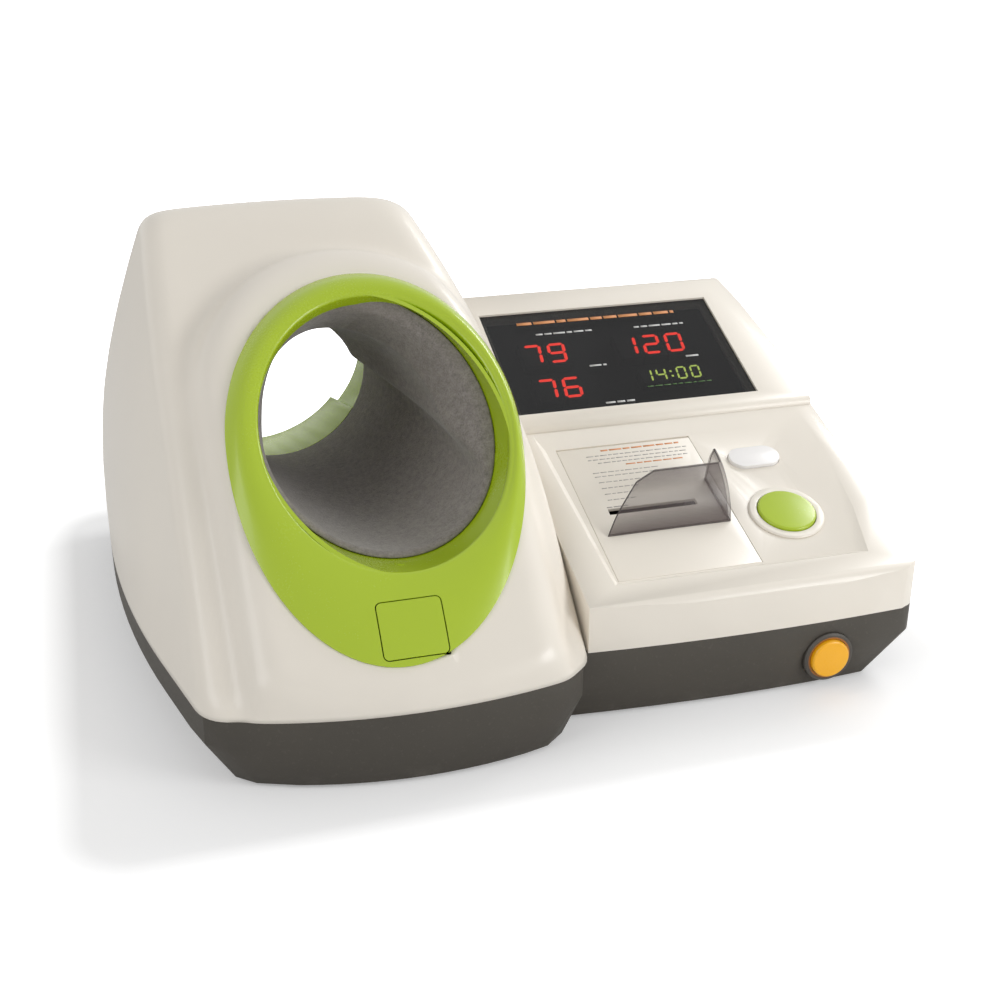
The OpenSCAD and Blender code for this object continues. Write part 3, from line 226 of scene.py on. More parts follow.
def gridFaces(rows, cols, roundRows=False, roundCols=True, start=0):
    # quads between point (r, c) and its neighbours (r + 1, c) and (r, c + 1), wrapping where it is round
    r = np.arange(rows if roundRows else rows - 1)[:, None]
    c = np.arange(cols if roundCols else cols - 1)[None, :]
    nextR, nextC = (r + 1) % rows, (c + 1) % cols
    corners = np.broadcast_arrays(r * cols + c, r * cols + nextC, nextR * cols + nextC, nextR * cols + c)
    return np.stack(corners, -1).reshape(-1, 4) + start


def makePiece(name, points, faces, body, look, slot=None):
    # points in millimetres, faces as rows of indices
    mesh = bpy.data.meshes.new(name)
    mesh.from_pydata((np.asarray(points).reshape(-1, 3) * mm).tolist(), [], [list(f) for f in faces])
    mesh.validate()
    mesh.shade_smooth()
    mesh.materials.append(look.material)
    piece = bpy.data.objects.new(name, mesh)
    bpy.context.scene.collection.objects.link(piece)
    if body:
        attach(piece, body)
    return piece


def finishModifiers(piece):
    # the mesh as its modifiers leave it, kept as a plain mesh
    graph = bpy.context.evaluated_depsgraph_get()
    made = bpy.data.meshes.new_from_object(piece.evaluated_get(graph))
    piece.modifiers.clear()
    piece.data = made
    return piece


def carve(piece, cutter, operation="DIFFERENCE"):
    tool = piece.modifiers.new("carve", "BOOLEAN")
    tool.operation = operation
    tool.solver = "EXACT"
    tool.object = cutter
    finishModifiers(piece)
    return piece


def sharpen(piece, angle):
    # smooth shading except across edges sharper than the angle
    piece.data.shade_smooth()
    piece.data.set_sharp_from_angle(angle=radians(angle))


def softened(node, width, body, slot, segments=3, angle=28, edgeLook=None):
    # a copy of a CAD node, merged and with its edges rounded, which stands for the node
    mesh = nodes[node].data.copy()
    mesh.name = node + "Soft"
    piece = bpy.data.objects.new(node + "Soft", mesh)
    bpy.context.scene.collection.objects.link(piece)
    weld = piece.modifiers.new("weld", "WELD")
    weld.merge_threshold = 0.000002
    flat = piece.modifiers.new("flat", "DECIMATE")
    flat.decimate_type = "DISSOLVE"
    flat.angle_limit = radians(0.6)
    finishModifiers(piece)
    piece.data.shade_smooth()
    bevel = piece.modifiers.new("bevel", "BEVEL")
    bevel.width = width * mm
    bevel.segments = segments
    bevel.limit_method = "ANGLE"
    bevel.angle_limit = radians(angle)
    bevel.harden_normals = True
    piece.data.materials.clear()
    piece.data.materials.append(looks[slot].material)
    if edgeLook:
        piece.data.materials.append(edgeLook.material)
        bevel.material = 1
    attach(piece, body)
    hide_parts(node)
    return piece


def turnX(points, degrees):
    a = radians(degrees)
    x, y, z = np.moveaxis(np.asarray(points, float), -1, 0)
    return np.stack([x, y * cos(a) - z * sin(a), y * sin(a) + z * cos(a)], -1)


# ---- every CAD node gets its finish ----

for node in nodes.values():
    for slot in node.material_slots:
        kind = slot.material.name.split(".")[0]
        if kind in looks:
            slot.material = looks[kind].material
        else:
            print("no look for", node.name, kind)
# painted shade: the display's board is coloured near black for the dark inside of the display, which the dark
# window needs behind it
boardPaintedShade = moulded("boardPaintedShade", dict(tone=colour(14, 14, 15), vary=0.2, rough=0.6, grain=900, deep=0.00002, coat=0.0))
for slot in nodes["display_board"].material_slots:
    slot.material = boardPaintedShade.material
print("finishes given")


# ---- tower ----

tower = {
    "left": -251, "right": 23, "front": -206.5, "back": 206.5, "top": 281, "seam": 49.3, "middle": -114,
    "slope": 40.7, "slopeFoot": -191.1, "bowCentre": -80, "bowRadius": 350, "bandLean": 0.06,
    "crease": -207, "flare": 0.25, "leftStart": 19, "leftLean": 0.06, "leftCurve": 0.00058,
    "rightStart": 58, "rightCurve": 0.0018, "crown": 5, "topRound": 2.85, "rearSlope": 66.8,
    "collar": 100, "collarShift": -8, "collarRise": 48, "collarTaper": 0.33, "collarDrop": 1.2,
    "around": 300, "up": 120, "wall": 3, "hole": 79, "pocket": ((-6, 20), (-122, 22)), "snap": 2.2,
}
ring = {
    "at": np.array([-81.5, -87.4, 175.9]), "tilt": 43.7, "rim": -7, "rimFall": 0.0375, "turn": -4.3,
    "halfWidth": 91, "above": 118, "below": 148, "shift": -4, "bulge": 1.6, "lipAt": (1, 2), "lip": (76, 93),
    "around": 320, "across": 40, "sleeve": 75.5, "sleeveWall": 2.5,
}
tunnel = {"pitch": 8, "yaw": 9.6}


def tunnelAxes():
    # columns of Rz(90 + yaw) Ry(90 + pitch): down, left and along the tunnel towards the back
    p, w = radians(90 + tunnel["pitch"]), radians(90 + tunnel["yaw"])
    turnY = np.array([[cos(p), 0, sin(p)], [0, 1, 0], [-sin(p), 0, cos(p)]])
    turnZ = np.array([[cos(w), -sin(w), 0], [sin(w), cos(w), 0], [0, 0, 1]])
    return (turnZ @ turnY).T


down, leftward, inward = tunnelAxes()


def joinMax(a, b, k):
    # larger of two distances with a fillet of reach k: max(a, b) + max(k - |a - b|, 0)^2 / 4k
    return np.maximum(a, b) + np.maximum(k - np.abs(a - b), 0) ** 2 / (4 * k)


def joinMin(a, b, k):
    return -joinMax(-a, -b, k)


def intoPlace(points):
    # from the ring's plane to the shared frame
    return turnX(points, ring["tilt"]) + ring["at"]


def ringLocal(p):
    return turnX(p - ring["at"], -ring["tilt"])


def rimZ(y):
    return ring["rim"] - ring["rimFall"] * y


def towerGap(p):
    # distance from the tower's skin, negative inside: walls, slope, collar and top joined with fillets
    t = tower
    x, y, z = np.moveaxis(p, -1, 0)
    a, rise = radians(t["slope"]), z - t["seam"]
    slope = rise * cos(a) - (y - t["slopeFoot"]) * sin(a)
    bow = np.hypot(x - t["bowCentre"], y - t["front"] - t["bowRadius"])
    front = bow - t["bowRadius"] + t["bandLean"] * rise
    flare = t["flare"]
    away = t["crease"] - flare * (y - t["slopeFoot"] - rise / tan(a)) - x
    crease = away / np.sqrt(1 + flare ** 2 + (flare / tan(a)) ** 2)
    high = np.maximum(rise - t["leftStart"], 0)
    side = t["left"] + t["leftLean"] * high + t["leftCurve"] * high ** 2 - x
    right = x - t["right"] + t["rightCurve"] * np.maximum(rise - t["rightStart"], 0) ** 2
    top = z - t["top"] - t["topRound"] + t["crown"] * ((x - t["middle"]) / 100) ** 2
    b = radians(t["rearSlope"])
    rear = (y - t["back"]) * sin(b) + rise * cos(b)
    q = ringLocal(p)
    radius = np.hypot(q[..., 0] - t["collarShift"], np.maximum(q[..., 1] - t["collarRise"], 0))
    boss = (radius - t["collar"] + t["collarTaper"] * (q[..., 2] + 30)) / np.hypot(1, t["collarTaper"])
    collar = joinMax(boss, q[..., 2] - rimZ(q[..., 1]) + t["collarDrop"], 18)
    face = joinMax(joinMin(slope, collar, 9), front, 8)
    body = joinMax(joinMax(face, joinMax(crease, side, 24), 12), right, 22)
    return joinMax(joinMax(body, top, 14), rear, 26)


def towerSkin():
    # points seed + t v(a, e) where the gap is nought, found by halving, for turns a and elevations e
    a = np.linspace(0, 2 * pi, tower["around"], endpoint=False)
    e = np.linspace(0, pi / 2, tower["up"])[:, None]
    flat = np.stack([130 * np.cos(a), 220 * np.sin(a)], -1)
    flat /= np.linalg.norm(flat, axis=-1, keepdims=True)
    way = np.stack([flat[:, 0] * np.cos(e), flat[:, 1] * np.cos(e), np.sin(e) + 0 * a], -1)
    seed = np.array([tower["middle"] + 4, 25, tower["seam"]])
    near, far = np.full(way.shape[:2], 5.0), np.full(way.shape[:2], 420.0)
    for _ in range(26):
        half = (near + far) / 2
        outside = towerGap(seed + way * half[..., None]) > 0
        near, far = np.where(outside, near, half), np.where(outside, half, far)
    return seed + way * ((near + far) / 2)[..., None]


def fromAxis(p):
    # offset of points from the tunnel's axis, and its length
    q = p - ring["at"]
    off = q - (q @ inward)[..., None] * inward
    return off, np.linalg.norm(off, axis=-1)


def makeTower():
    skin = towerSkin()
    rows, cols = skin.shape[:2]
    points = np.concatenate([skin[:-1].reshape(-1, 3), skin[-1:, 0]])
    quads = gridFaces(rows - 1, cols)
    last = (rows - 2) * cols + np.arange(cols)
    fan = np.stack([last, np.roll(last, -1), np.full(cols, len(points) - 1)], -1)
    # points close to the hole's edge are drawn onto it, and the faces inside it are left out
    off, reach = fromAxis(points)
    edge = np.abs(reach - tower["hole"]) < 1.6
    points[edge] += off[edge] * ((tower["hole"] - reach[edge]) / reach[edge])[:, None]
    inHole = fromAxis(points)[1] < tower["hole"] + 0.05
    # and so are the points near the edge of the elbow plate's pocket, one way and then the other
    q = ringLocal(points)
    pocket = tower["pocket"]
    for k in (0, 1):
        middle, half = pocket[k]
        aside = q[:, k] - middle
        close = (np.abs(np.abs(aside) - half) < tower["snap"]) & (np.abs(q[:, 2]) < 30)
        close &= np.abs(q[:, 1 - k] - pocket[1 - k][0]) < pocket[1 - k][1] + 4
        q[close, k] = middle + half * np.sign(aside[close])
    moved = (q != ringLocal(points)).any(1)
    points[moved] = intoPlace(q[moved])
    inPocket = np.abs(q[:, 2]) < 30
    for k in (0, 1):
        inPocket &= np.abs(q[:, k] - pocket[k][0]) < pocket[k][1] + 0.05
    faces = []
    for f in (quads, fan):
        faces += f[~(inHole[f].all(1) | inPocket[f].all(1))].tolist()
    piece = makePiece("towerShell", points, faces, "monitor", looks["shell"], "shell")
    wall = piece.modifiers.new("wall", "SOLIDIFY")
    wall.thickness = tower["wall"] * mm
    wall.offset = -1
    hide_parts("tower_housing")
    return piece


towerShell = makeTower()
print("tower made")


# ---- green ring and elbow plate ----

elbow = {"x": -6, "y": -126, "wide": 38, "long": 34, "gap": 0.7, "corner": 3}


def ringEgg(a):
    # egg outline: half width w, and above or below its centre the longer half length, turned a little
    r = ring
    half = np.where(np.sin(a) > 0, r["above"], r["below"])
    reach = 1 / np.hypot(np.cos(a) / r["halfWidth"], np.sin(a) / half)
    turned = a + radians(r["turn"])
    return r["shift"] + reach * np.cos(turned), reach * np.sin(turned)


def lipOval(a, grow):
    (cx, cy), (w, l) = ring["lipAt"], ring["lip"]
    return cx + (w + grow) * np.cos(a), cy + (l + grow) * np.sin(a)


def ringRows():
    # from the rim up to the lip: z = rim + (lip - rim) sin(90 t^0.9) + bulge sin(180 t), closed underneath
    a = np.linspace(0, 2 * pi, ring["around"], endpoint=False)[None, :]
    t = (0.5 - 0.5 * np.cos(np.linspace(0, pi, ring["across"])))[:, None]
    eggX, eggY = ringEgg(a)
    lipX, lipY = lipOval(a + radians(ring["turn"]), 3)
    x, y = eggX + (lipX - eggX) * t, eggY + (lipY - eggY) * t
    low = rimZ(eggY)
    z = low - (low + 1) * np.sin(pi / 2 * t ** 0.9) + ring["bulge"] * np.sin(pi * t)
    skin = np.stack([x, y, z], -1)
    # the lip rolls over from the skin's end to the oval with a quarter turn
    roll = np.linspace(0, pi / 2, 7)[1:, None]
    rollX, rollY = lipOval(a + radians(ring["turn"]), 3 - 3 * np.sin(roll))
    lip = np.stack([rollX, rollY, -1 - 2.2 * (1 - np.cos(roll)) + 0 * a], -1)
    under = [np.stack([row[:, 0], row[:, 1], rimZ(row[:, 1]) - 1.1], -1) for row in (lip[-1], skin[0])]
    return np.concatenate([skin, lip, np.array(under)])


def boxCutter(name, x0, x1, y0, y1, z0, z1, corner=0):
    # an upright prism in the ring's plane with rounded corners
    turns = np.linspace(0, pi / 2, 6)
    quarter = corner * np.stack([np.cos(turns), np.sin(turns)], -1)
    parts = []
    for k, (cx, cy) in enumerate([(x1 - corner, y1 - corner), (x0 + corner, y1 - corner),
                                  (x0 + corner, y0 + corner), (x1 - corner, y0 + corner)]):
        turn = np.array([[cos(k * pi / 2), sin(k * pi / 2)], [-sin(k * pi / 2), cos(k * pi / 2)]])
        parts.append(quarter @ turn + (cx, cy))
    flat = np.concatenate(parts)
    n = len(flat)
    points = np.concatenate([np.column_stack([flat, np.full(n, z)]) for z in (z0, z1)])
    faces = [list(range(n))[::-1], list(range(n, 2 * n))] + gridFaces(2, n).tolist()
    return makePiece(name, intoPlace(points), faces, None, looks["shell"])


def makeSleeve():
    # a tube round the tunnel's axis between the ring's plane and the plane of the drum's front edge
    a = np.linspace(0, 2 * pi, ring["around"], endpoint=False)[None, :]
    round_ = np.cos(a)[..., None] * down + np.sin(a)[..., None] * leftward
    ringUp = turnX([0, 0, 1], ring["tilt"])
    edgeUp = turnX([0, 0, 1], 51)
    rows = []
    inside, outside = ring["sleeve"], ring["sleeve"] + ring["sleeveWall"]
    top, foot = -1.6, -29.6
    for radius, plane, depth in [(inside, ringUp, top), (inside, edgeUp, foot),
                                 (outside, edgeUp, foot), (outside, ringUp, top)]:
        along = (depth - radius * round_ @ plane) / (inward @ plane)
        rows.append(ring["at"] + radius * round_ + along[..., None] * inward)
    rows = np.concatenate(rows)
    steps = np.linspace(0, 1, 12)[:, None, None]
    inner = rows[0] + (rows[1] - rows[0]) * steps
    outer = rows[2] + (rows[3] - rows[2]) * steps
    return np.concatenate([inner, outer])


def makeRing():
    rows = intoPlace(ringRows())
    faces = gridFaces(rows.shape[0], rows.shape[1], roundRows=True)
    e = elbow
    plate = makePiece("elbowPad", rows, faces, None, looks["lime"])
    face = makePiece("greenRing", rows, faces, None, looks["lime"])
    x0, x1 = e["x"] - e["wide"] / 2, e["x"] + e["wide"] / 2
    y0, y1 = e["y"] - e["long"] / 2, e["y"] + e["long"] / 2
    g = e["gap"]
    inner = boxCutter("plateCutter", x0, x1, y0, y1, -40, 40, e["corner"])
    outer = boxCutter("holeCutter", x0 - g, x1 + g, y0 - g, y1 + g, -40, 40, e["corner"] + g)
    carve(plate, inner, "INTERSECT")
    carve(face, outer)
    for cutter in (inner, outer):
        bpy.data.objects.remove(cutter)
    for piece in (plate, face):
        sharpen(piece, 50)
    sleeve = makeSleeve()
    tube = makePiece("ringSleeve", sleeve, gridFaces(sleeve.shape[0], sleeve.shape[1], roundRows=True),
                     "monitor", looks["lime"], "lime")
    sharpen(tube, 50)
    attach(face, "monitor")
    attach(plate, "elbow_plate")
    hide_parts("front_ring")
    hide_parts("elbow_plate")
    return face, plate, tube


makeRing()
print("ring made")


# ---- cuff ----

cuff = {
    "radius": 74.9, "thick": 3, "waist": 9, "waistAt": 170, "waistLong": 100, "front": 19, "frontTilt": 51,
    "sag": 17, "sagTurn": 205, "creaseTurn": -72.5, "creaseAt": 91, "creaseTwist": 0.2,
    "back": 135.2, "around": 300, "along": 150, "hem": 5, "fold": 0.55,
}


def clothCuff():
    # a padded sleeve: inner radius R - thick - waist exp(-((s - at) / long)^2), rounded over a hem at both
    # ends as a quarter of an ellipse, with soft folds sin(m a + k s) that die out at the hems, and with its
    # upper lap hanging in by sag between the crease, which winds along the tunnel, and the left side
    c = cuff
    a = np.linspace(0, 2 * pi, c["around"], endpoint=False)[None, :]
    round_ = np.cos(a)[..., None] * down + np.sin(a)[..., None] * leftward
    edgeUp = turnX([0, 0, 1], c["frontTilt"])
    start = (-c["front"] - c["radius"] * round_ @ edgeUp) / (inward @ edgeUp)
    stop = (c["back"] - ring["at"][1] - c["radius"] * round_[..., 1]) / inward[1]
    t = np.linspace(0, 1, c["along"])[:, None]
    t = t - 0.9 * np.sin(2 * pi * t) / (2 * pi)
    s = start + (stop - start) * t
    edge = np.minimum(s - start, stop - s)
    hem = np.sqrt(np.clip(1 - (1 - np.clip(edge / c["hem"], 0, 1)) ** 2, 0, 1))
    thick = c["thick"] + c["waist"] * np.exp(-((s - c["waistAt"]) / c["waistLong"]) ** 2)
    calm = np.clip(edge / 30, 0, 1)
    folds = 0.5 * np.sin(3 * a + 0.035 * s + 0.6) + 0.3 * np.sin(5 * a - 0.05 * s + 2)
    folds = folds + 0.2 * np.sin(9 * a + 0.09 * s)
    seamTurn = np.angle(np.exp(1j * (a - 3.4)))
    seam = 0.5 * np.exp(-(seamTurn * 74 / 1.6) ** 2)
    # turns counted leftwards from the crease, 0 to 360 degrees
    crease = c["creaseTurn"] - c["creaseTwist"] * (s - c["creaseAt"])
    past = np.mod(crease - np.degrees(a), 360)
    rise = 1 / (1 + np.exp(-(past - 9) / 2.6)) * (1 - 1 / (1 + np.exp(-(past - 8 - c["sagTurn"]) / 16)))
    sag = c["sag"] * rise * np.clip(edge / 34, 0, 1) ** 0.6
    radius = c["radius"] - (thick + sag + c["fold"] * folds * calm - seam * calm) * hem
    inner = ring["at"] + radius[..., None] * round_ + s[..., None] * inward
    back = t[::-1][1:-1]
    s2 = start + (stop - start) * back
    outer = ring["at"] + c["radius"] * round_ + s2[..., None] * inward
    points = np.concatenate([inner, outer])
    rows, cols = points.shape[:2]
    piece = makePiece("clothCuff", points, gridFaces(rows, cols, roundRows=True)[:, ::-1], "monitor",
                      clothLook(), "cuff_fabric")
    layer = piece.data.uv_layers.new(name="cloth")
    loops = np.zeros(len(piece.data.loops), int)
    piece.data.loops.foreach_get("vertex_index", loops)
    uv = [np.stack([np.broadcast_to(a * c["radius"], along.shape), along], -1) for along in (s, s2)]
    uv = np.concatenate(uv)
    layer.data.foreach_set("uv", uv.reshape(-1, 2)[loops].astype(np.float32).ravel())
    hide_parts("cuff")
    return piece


def clothLook():
    # brushed knit: short fibres over tufts, darker in the hollows as painted shade
    look = Look("brushedCloth", {"Sheen Weight": 0.35, "Sheen Roughness": 0.5, "Specular IOR Level": 0.15})
    spot = look.place()
    fibre = look.noise(spot, 900, 3, 0.65)
    tuft = look.noise(spot, 260, 3, 0.6)
    cloud = look.noise(spot, 18, 3)
    pile = 0.55 * fibre + 0.45 * tuft
    # low pile is a hollow of the bump and gets the darker tone, a painted shade
    tone = look.between(colour(112, 107, 104), colour(168, 160, 156), look.step(pile, 0.3, 0.7))
    worn = look.between(tone, colour(138, 130, 127), look.step(cloud, 0.45, 0.7) * 0.35)
    look.give(look.shader, {"Base Color": worn, "Roughness": 0.86 + 0.12 * fibre})
    look.bump(pile, 0.0009, 0.7)
    return look


clothCuff()
print("cuff made")


# ---- lit digits and printed marks ----

display = {"at": (0, -9, 135.5), "tilt": 22.5, "left": 31.5, "digitTop": -4.95, "glassTop": -1.45}


def onPlane(flat, frameOf, height):
    # points x, s of a tilted face, raised by height, in the shared frame
    flat = np.asarray(flat, float)
    return turnX(np.column_stack([flat, np.full(len(flat), height)]), frameOf["tilt"]) + frameOf["at"]


def prism(outline, frameOf, low, high):
    # a closed outline raised from low to high: its points and faces
    n = len(outline)
    points = np.concatenate([onPlane(outline, frameOf, low), onPlane(outline, frameOf, high)])
    return points, [list(range(n))[::-1], list(range(n, 2 * n))] + gridFaces(2, n).tolist()


def gather(shapes):
    # several (points, faces) as one
    points, faces, start = [], [], 0
    for p, f in shapes:
        points.append(p)
        faces += [[start + i for i in face] for face in f]
        start += len(p)
    return np.concatenate(points), faces


segmentsOf = {"0": "abcdef", "1": "bc", "2": "abged", "3": "abgcd", "4": "fgbc", "5": "afgcd", "6": "afgecd",
              "7": "abc", "9": "abcdfg"}


def digitBars(digit, cx, cy, w, h, thick, slant=0.12):
    # seven bars with pointed ends on the edges of a box w by 2 half heights, leaning by slant
    places = {"a": (0, h / 2, 0), "g": (0, 0, 0), "d": (0, -h / 2, 0), "f": (-w / 2, h / 4, 1),
              "b": (w / 2, h / 4, 1), "e": (-w / 2, -h / 4, 1), "c": (w / 2, -h / 4, 1)}
    for key in segmentsOf[digit]:
        x, y, upright = places[key]
        half, t = ((h / 2 if upright else w) - 0.8) / 2, thick / 2
        bar = np.array([[-half, 0], [t - half, t], [half - t, t], [half, 0], [half - t, -t], [t - half, -t]])
        bar = bar[:, ::-1] * (-1, 1) if upright else bar
        bar = bar + (x, y)
        yield np.column_stack([bar[:, 0] + slant * bar[:, 1] + cx, bar[:, 1] + cy])


def litLook(name, tone, strength):
    # lit segments, a little brighter in the middle of each diode's patch
    look = Look(name, {"Base Color": scaled(tone, 0.3), "Roughness": 0.5, "Emission Strength": strength})
    patch = look.noise(look.place(), 350, 1)
    look.give(look.shader, {"Emission Color": look.between(scaled(tone, 0.8), scaled(tone, 1.15), patch)})
    return look


def makeDigits():
    big, small = (11.5, 19, 2.3), (6.4, 12, 1.3)
    readings = [("120", [136.5, 155.1, 173.7], 80.5), ("79", [62, 80.6], 80.5), ("76", [62, 80.6], 42)]
    clock = [("1400", [140, 151, 167, 178], 46)]
    rows = [("bigSegments", "big_digits", readings, big, litLook("litRed", colour(255, 58, 44), 5)),
            ("clockSegments", "clock_digits", clock, small, litLook("litLime", colour(206, 232, 110), 3.5))]
    for name, slot, words, (w, h, thick), look in rows:
        shapes = [prism(bar, display, display["digitTop"], display["digitTop"] + 0.3)
                  for word, places, s in words for digit, x in zip(word, places)
                  for bar in digitBars(digit, x, s, w, h, thick)]
        if slot == "clock_digits":
            for s in (43.4, 48.6):
                dot = np.array([[158.2, s - 0.8], [159.8, s - 0.8], [159.8, s + 0.8], [158.2, s + 0.8]])
                shapes.append(prism(dot, display, display["digitTop"], display["digitTop"] + 0.3))
        makePiece(name, *gather(shapes), "monitor", look)


makeDigits()


def printedWords(cx, cy, width, tall, seed, gap=1.4):
    # a line of plain word-long bars that fills a width: lengths drawn from a seeded list
    rng = np.random.default_rng(seed)
    at, bars = cx - width / 2, []
    while at < cx + width / 2 - 1.5:
        long = min(rng.uniform(3, 11) * tall / 2 + 1, cx + width / 2 - at)
        bars.append(np.array([[at, cy - tall / 2], [at + long, cy - tall / 2], [at + long, cy + tall / 2],
                              [at, cy + tall / 2]]))
        at += long + gap
    return bars


def inkLook(name, tone, shine=0.0):
    look = Look(name, {"Roughness": 0.6, "Emission Strength": shine})
    patch = look.noise(look.place(), 900, 2)
    mixed = look.between(scaled(tone, 0.8), scaled(tone, 1.1), patch)
    look.give(look.shader, {"Base Color": mixed, "Emission Color": mixed})
    return look


def makePrint():
    orange, white = inkLook("orangeInk", colour(222, 150, 96)), inkLook("paleInk", colour(210, 210, 208))
    grey, green = inkLook("greyInk", colour(172, 166, 162)), inkLook("greenInk", colour(70, 110, 50))
    # each line of print: its centre, its width and height, and its random seed
    labels = [(90.9, 98.6, 44, 1.7, 2), (166.4, 97.6, 40, 1.7, 3), (180.8, 59.8, 12, 1.7, 4),
              (105.2, 59, 13, 1.7, 5), (109, 18.5, 22, 1.7, 6)]
    onGlass = [("glassHeading", orange, [(120.7, 112, 126, 3.0, 1)]), ("glassLabels", white, labels),
               ("glassNote", green, [(159.2, 31, 50, 0.9, 7)])]
    for name, look, lines in onGlass:
        shapes = [prism(bar, display, display["glassTop"], display["glassTop"] + 0.06)
                  for cx, cy, wide, tall, seed in lines for bar in printedWords(cx, cy, wide, tall, seed)]
        makePiece(name, *gather(shapes), "monitor", look)
    headings = [(110, 128.5, 58, 1.5, 8), (116, 112, 44, 1.2, 9)]
    notes = [(106, 123.5, 74, 0.8, 10), (106, 119.6, 74, 0.8, 11), (108, 115.8, 66, 0.8, 12),
             (92, 106, 48, 0.7, 13), (90, 102, 44, 0.7, 14), (84, 96, 30, 0.7, 15), (82, 90, 26, 0.7, 16),
             (80, 84, 22, 0.7, 17), (79, 78, 20, 0.7, 18), (74, 71, 16, 0.9, 19)]
    for name, look, lines in [("panelHeadings", orange, headings), ("panelNotes", grey, notes)]:
        shapes = [prism(bar, panel, 0.01, 0.06)
                  for cx, cy, wide, tall, seed in lines
                  for bar in printedWords(cx, cy, wide, tall, seed, 1.0)]
        makePiece(name, *gather(shapes), "printer_door", look)


makePrint()
print("digits and print made")


# ---- softened copies of the moulded pieces that show ----

edges = [
    ("base_tray", 1.2, "monitor", "base"), ("control_housing", 1.6, "monitor", "shell"),
    ("display_housing", 1.6, "monitor", "shell"), ("printer_door", 0.35, "printer_door", "shell"),
    ("start_button", 0.5, "start_button", "lime"), ("print_button", 0.6, "print_button", "button_white"),
    ("start_ring", 0.35, "monitor", "shell"), ("stop_button", 0.5, "stop_button", "amber"),
    ("rear_ring", 0.8, "monitor", "lime"),
]
for node, width, body, slot in edges:
    softened(node, width, body, slot)
hoodEdge = moulded("hoodEdge", dict(tone=colour(44, 38, 38), vary=0.2, rough=0.3, grain=900, deep=0.00001,
                                    coat=0.0))
softened("paper_hood", 0.45, "printer_door", "smoked", edgeLook=hoodEdge)
print("edges softened")


def collarLook():
    # the stop button's collar: a brown rim by the button, the base's dark plastic further out
    look = Look("collarPlastic", {"Coat Weight": 0.1})
    x, y, z = look.axes(look.place())
    out = ((x - 0.1853) * (x - 0.1853) + (z - 0.0237) * (z - 0.0237)).power(0.5)
    grain = look.noise(look.place(), 1200, 2)
    rim = look.between(colour(150, 92, 20), colour(176, 112, 26), grain)
    dark = look.between(colour(66, 62, 57), colour(84, 79, 72), grain)
    look.give(look.shader, {"Base Color": look.between(rim, dark, look.step(out, 0.0144, 0.0147)),
                            "Roughness": 0.4 + 0.1 * grain})
    look.bump(grain, 0.00004)
    return look


for slot in nodes["stop_collar"].material_slots:
    slot.material = collarLook().material


# ---- floor, light and camera ----

studio = {
    "camera": (-0.2358, -0.8616, 0.4799), "turn": (65.97, 0, -16.35), "lens": 50,
    "world": 0.44, "key": 6.6, "fill": 4.6, "top": 0.6, "right": 7.5,
    "glow": 2.3, "glowShare": 0.12, "near": 0.03, "far": 0.16, "halfWide": 0.25, "halfDeep": 0.2,
}


def makeFloor():
    # white floor: pure white to the camera except where the object shades it, and all white further away
    white = (0.93, 0.93, 0.93, 1)
    look = Look("floorWhite", {"Base Color": white, "Roughness": 0.9, "Specular IOR Level": 0.1})
    tree, add = look.tree, look.add
    path = tree.nodes.new("ShaderNodeLightPath")
    seen = Sock(look, path.outputs["Is Camera Ray"])
    glow = add("ShaderNodeEmission", {}, {"Color": (1, 1, 1, 1), "Strength": studio["glow"]})
    mix = tree.nodes.new("ShaderNodeMixShader")
    x, y, z = look.axes(look.place())
    aside = [side.math("MAXIMUM", side.math("ABSOLUTE", side) - half, 0.0)
             for side, half in ((x, studio["halfWide"]), (y, studio["halfDeep"]))]
    away = look.step((aside[0] * aside[0] + aside[1] * aside[1]).power(0.5), studio["near"], studio["far"])
    look.give(mix, {0: seen * (away * (1 - studio["glowShare"]) + studio["glowShare"])})
    tree.links.new(look.shader.outputs[0], mix.inputs[1])
    tree.links.new(glow.out, mix.inputs[2])
    tree.links.new(mix.outputs[0], look.end.inputs[0])
    size = 6000
    corners = np.array([[-size, -size, 0], [size, -size, 0], [size, size, 0], [-size, size, 0]])
    floor = makePiece("studioFloor", corners, [[0, 1, 2, 3]], None, look)


def areaLight(name, at, target, size, power):
    lamp = bpy.data.lights.new(name, "AREA")
    lamp.shape = "RECTANGLE"
    lamp.size, lamp.size_y = size
    lamp.energy = power
    light = bpy.data.objects.new(name, lamp)
    way = np.subtract(target, at)
    flat = np.hypot(way[0], way[1])
    light.rotation_euler = (pi / 2 + atan2(way[2], flat), 0, atan2(way[1], way[0]) - pi / 2)
    light.location = at
    bpy.context.scene.collection.objects.link(light)


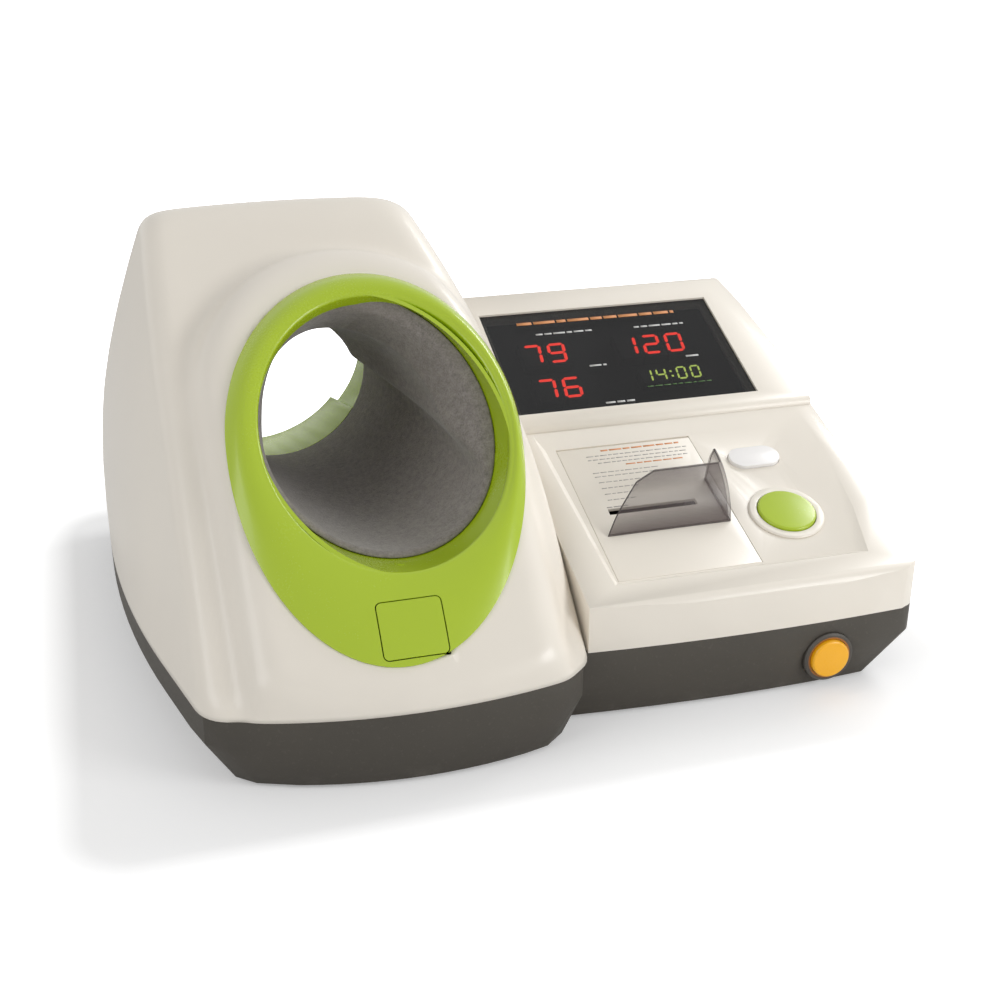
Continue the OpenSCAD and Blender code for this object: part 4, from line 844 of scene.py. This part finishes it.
def makeStudio():
    s = studio
    makeFloor()
    areaLight("keyLight", (0.95, -1.0, 0.6), (0.08, -0.1, 0.1), (0.6, 0.5), s["key"])
    areaLight("rightLight", (1.1, 0.45, 0.95), (0.0, 0, 0.15), (0.7, 0.35), s["right"])
    areaLight("leftLight", (-1.3, -0.55, 0.9), (-0.15, 0, 0.15), (0.9, 0.7), s["fill"])
    areaLight("topLight", (0.0, 0.2, 1.5), (0, 0, 0.1), (1.2, 1.2), s["top"])
    world = bpy.data.worlds.new("studioWorld")
    bpy.context.scene.world = world
    world.use_nodes = True
    tree = world.node_tree
    tree.nodes.clear()
    end = tree.nodes.new("ShaderNodeOutputWorld")
    back = tree.nodes.new("ShaderNodeBackground")
    path = tree.nodes.new("ShaderNodeLightPath")
    back.inputs[0].default_value = (1, 1, 1, 1)
    # strength 1 where the camera, glossy or glass rays see it, the lighting strength elsewhere
    seen = tree.nodes.new("ShaderNodeMath")
    seen.operation = "MAXIMUM"
    seen2 = tree.nodes.new("ShaderNodeMath")
    seen2.operation = "MAXIMUM"
    strength = tree.nodes.new("ShaderNodeMapRange")
    tree.links.new(path.outputs["Is Camera Ray"], seen.inputs[0])
    tree.links.new(path.outputs["Is Glossy Ray"], seen.inputs[1])
    tree.links.new(seen.outputs[0], seen2.inputs[0])
    tree.links.new(path.outputs["Is Transmission Ray"], seen2.inputs[1])
    tree.links.new(seen2.outputs[0], strength.inputs[0])
    strength.inputs["To Min"].default_value = s["world"]
    strength.inputs["To Max"].default_value = 1.0
    tree.links.new(strength.outputs[0], back.inputs[1])
    tree.links.new(back.outputs[0], end.inputs[0])
    camera = bpy.data.objects.new("camera", bpy.data.cameras.new("camera"))
    camera.data.lens = s["lens"]
    camera.data.sensor_width = 36
    camera.location = s["camera"]
    camera.rotation_euler = [radians(a) for a in s["turn"]]
    bpy.context.scene.collection.objects.link(camera)
    bpy.context.scene.camera = camera


makeStudio()
scene = bpy.context.scene
scene.view_settings.view_transform = "Standard"
print("studio made")
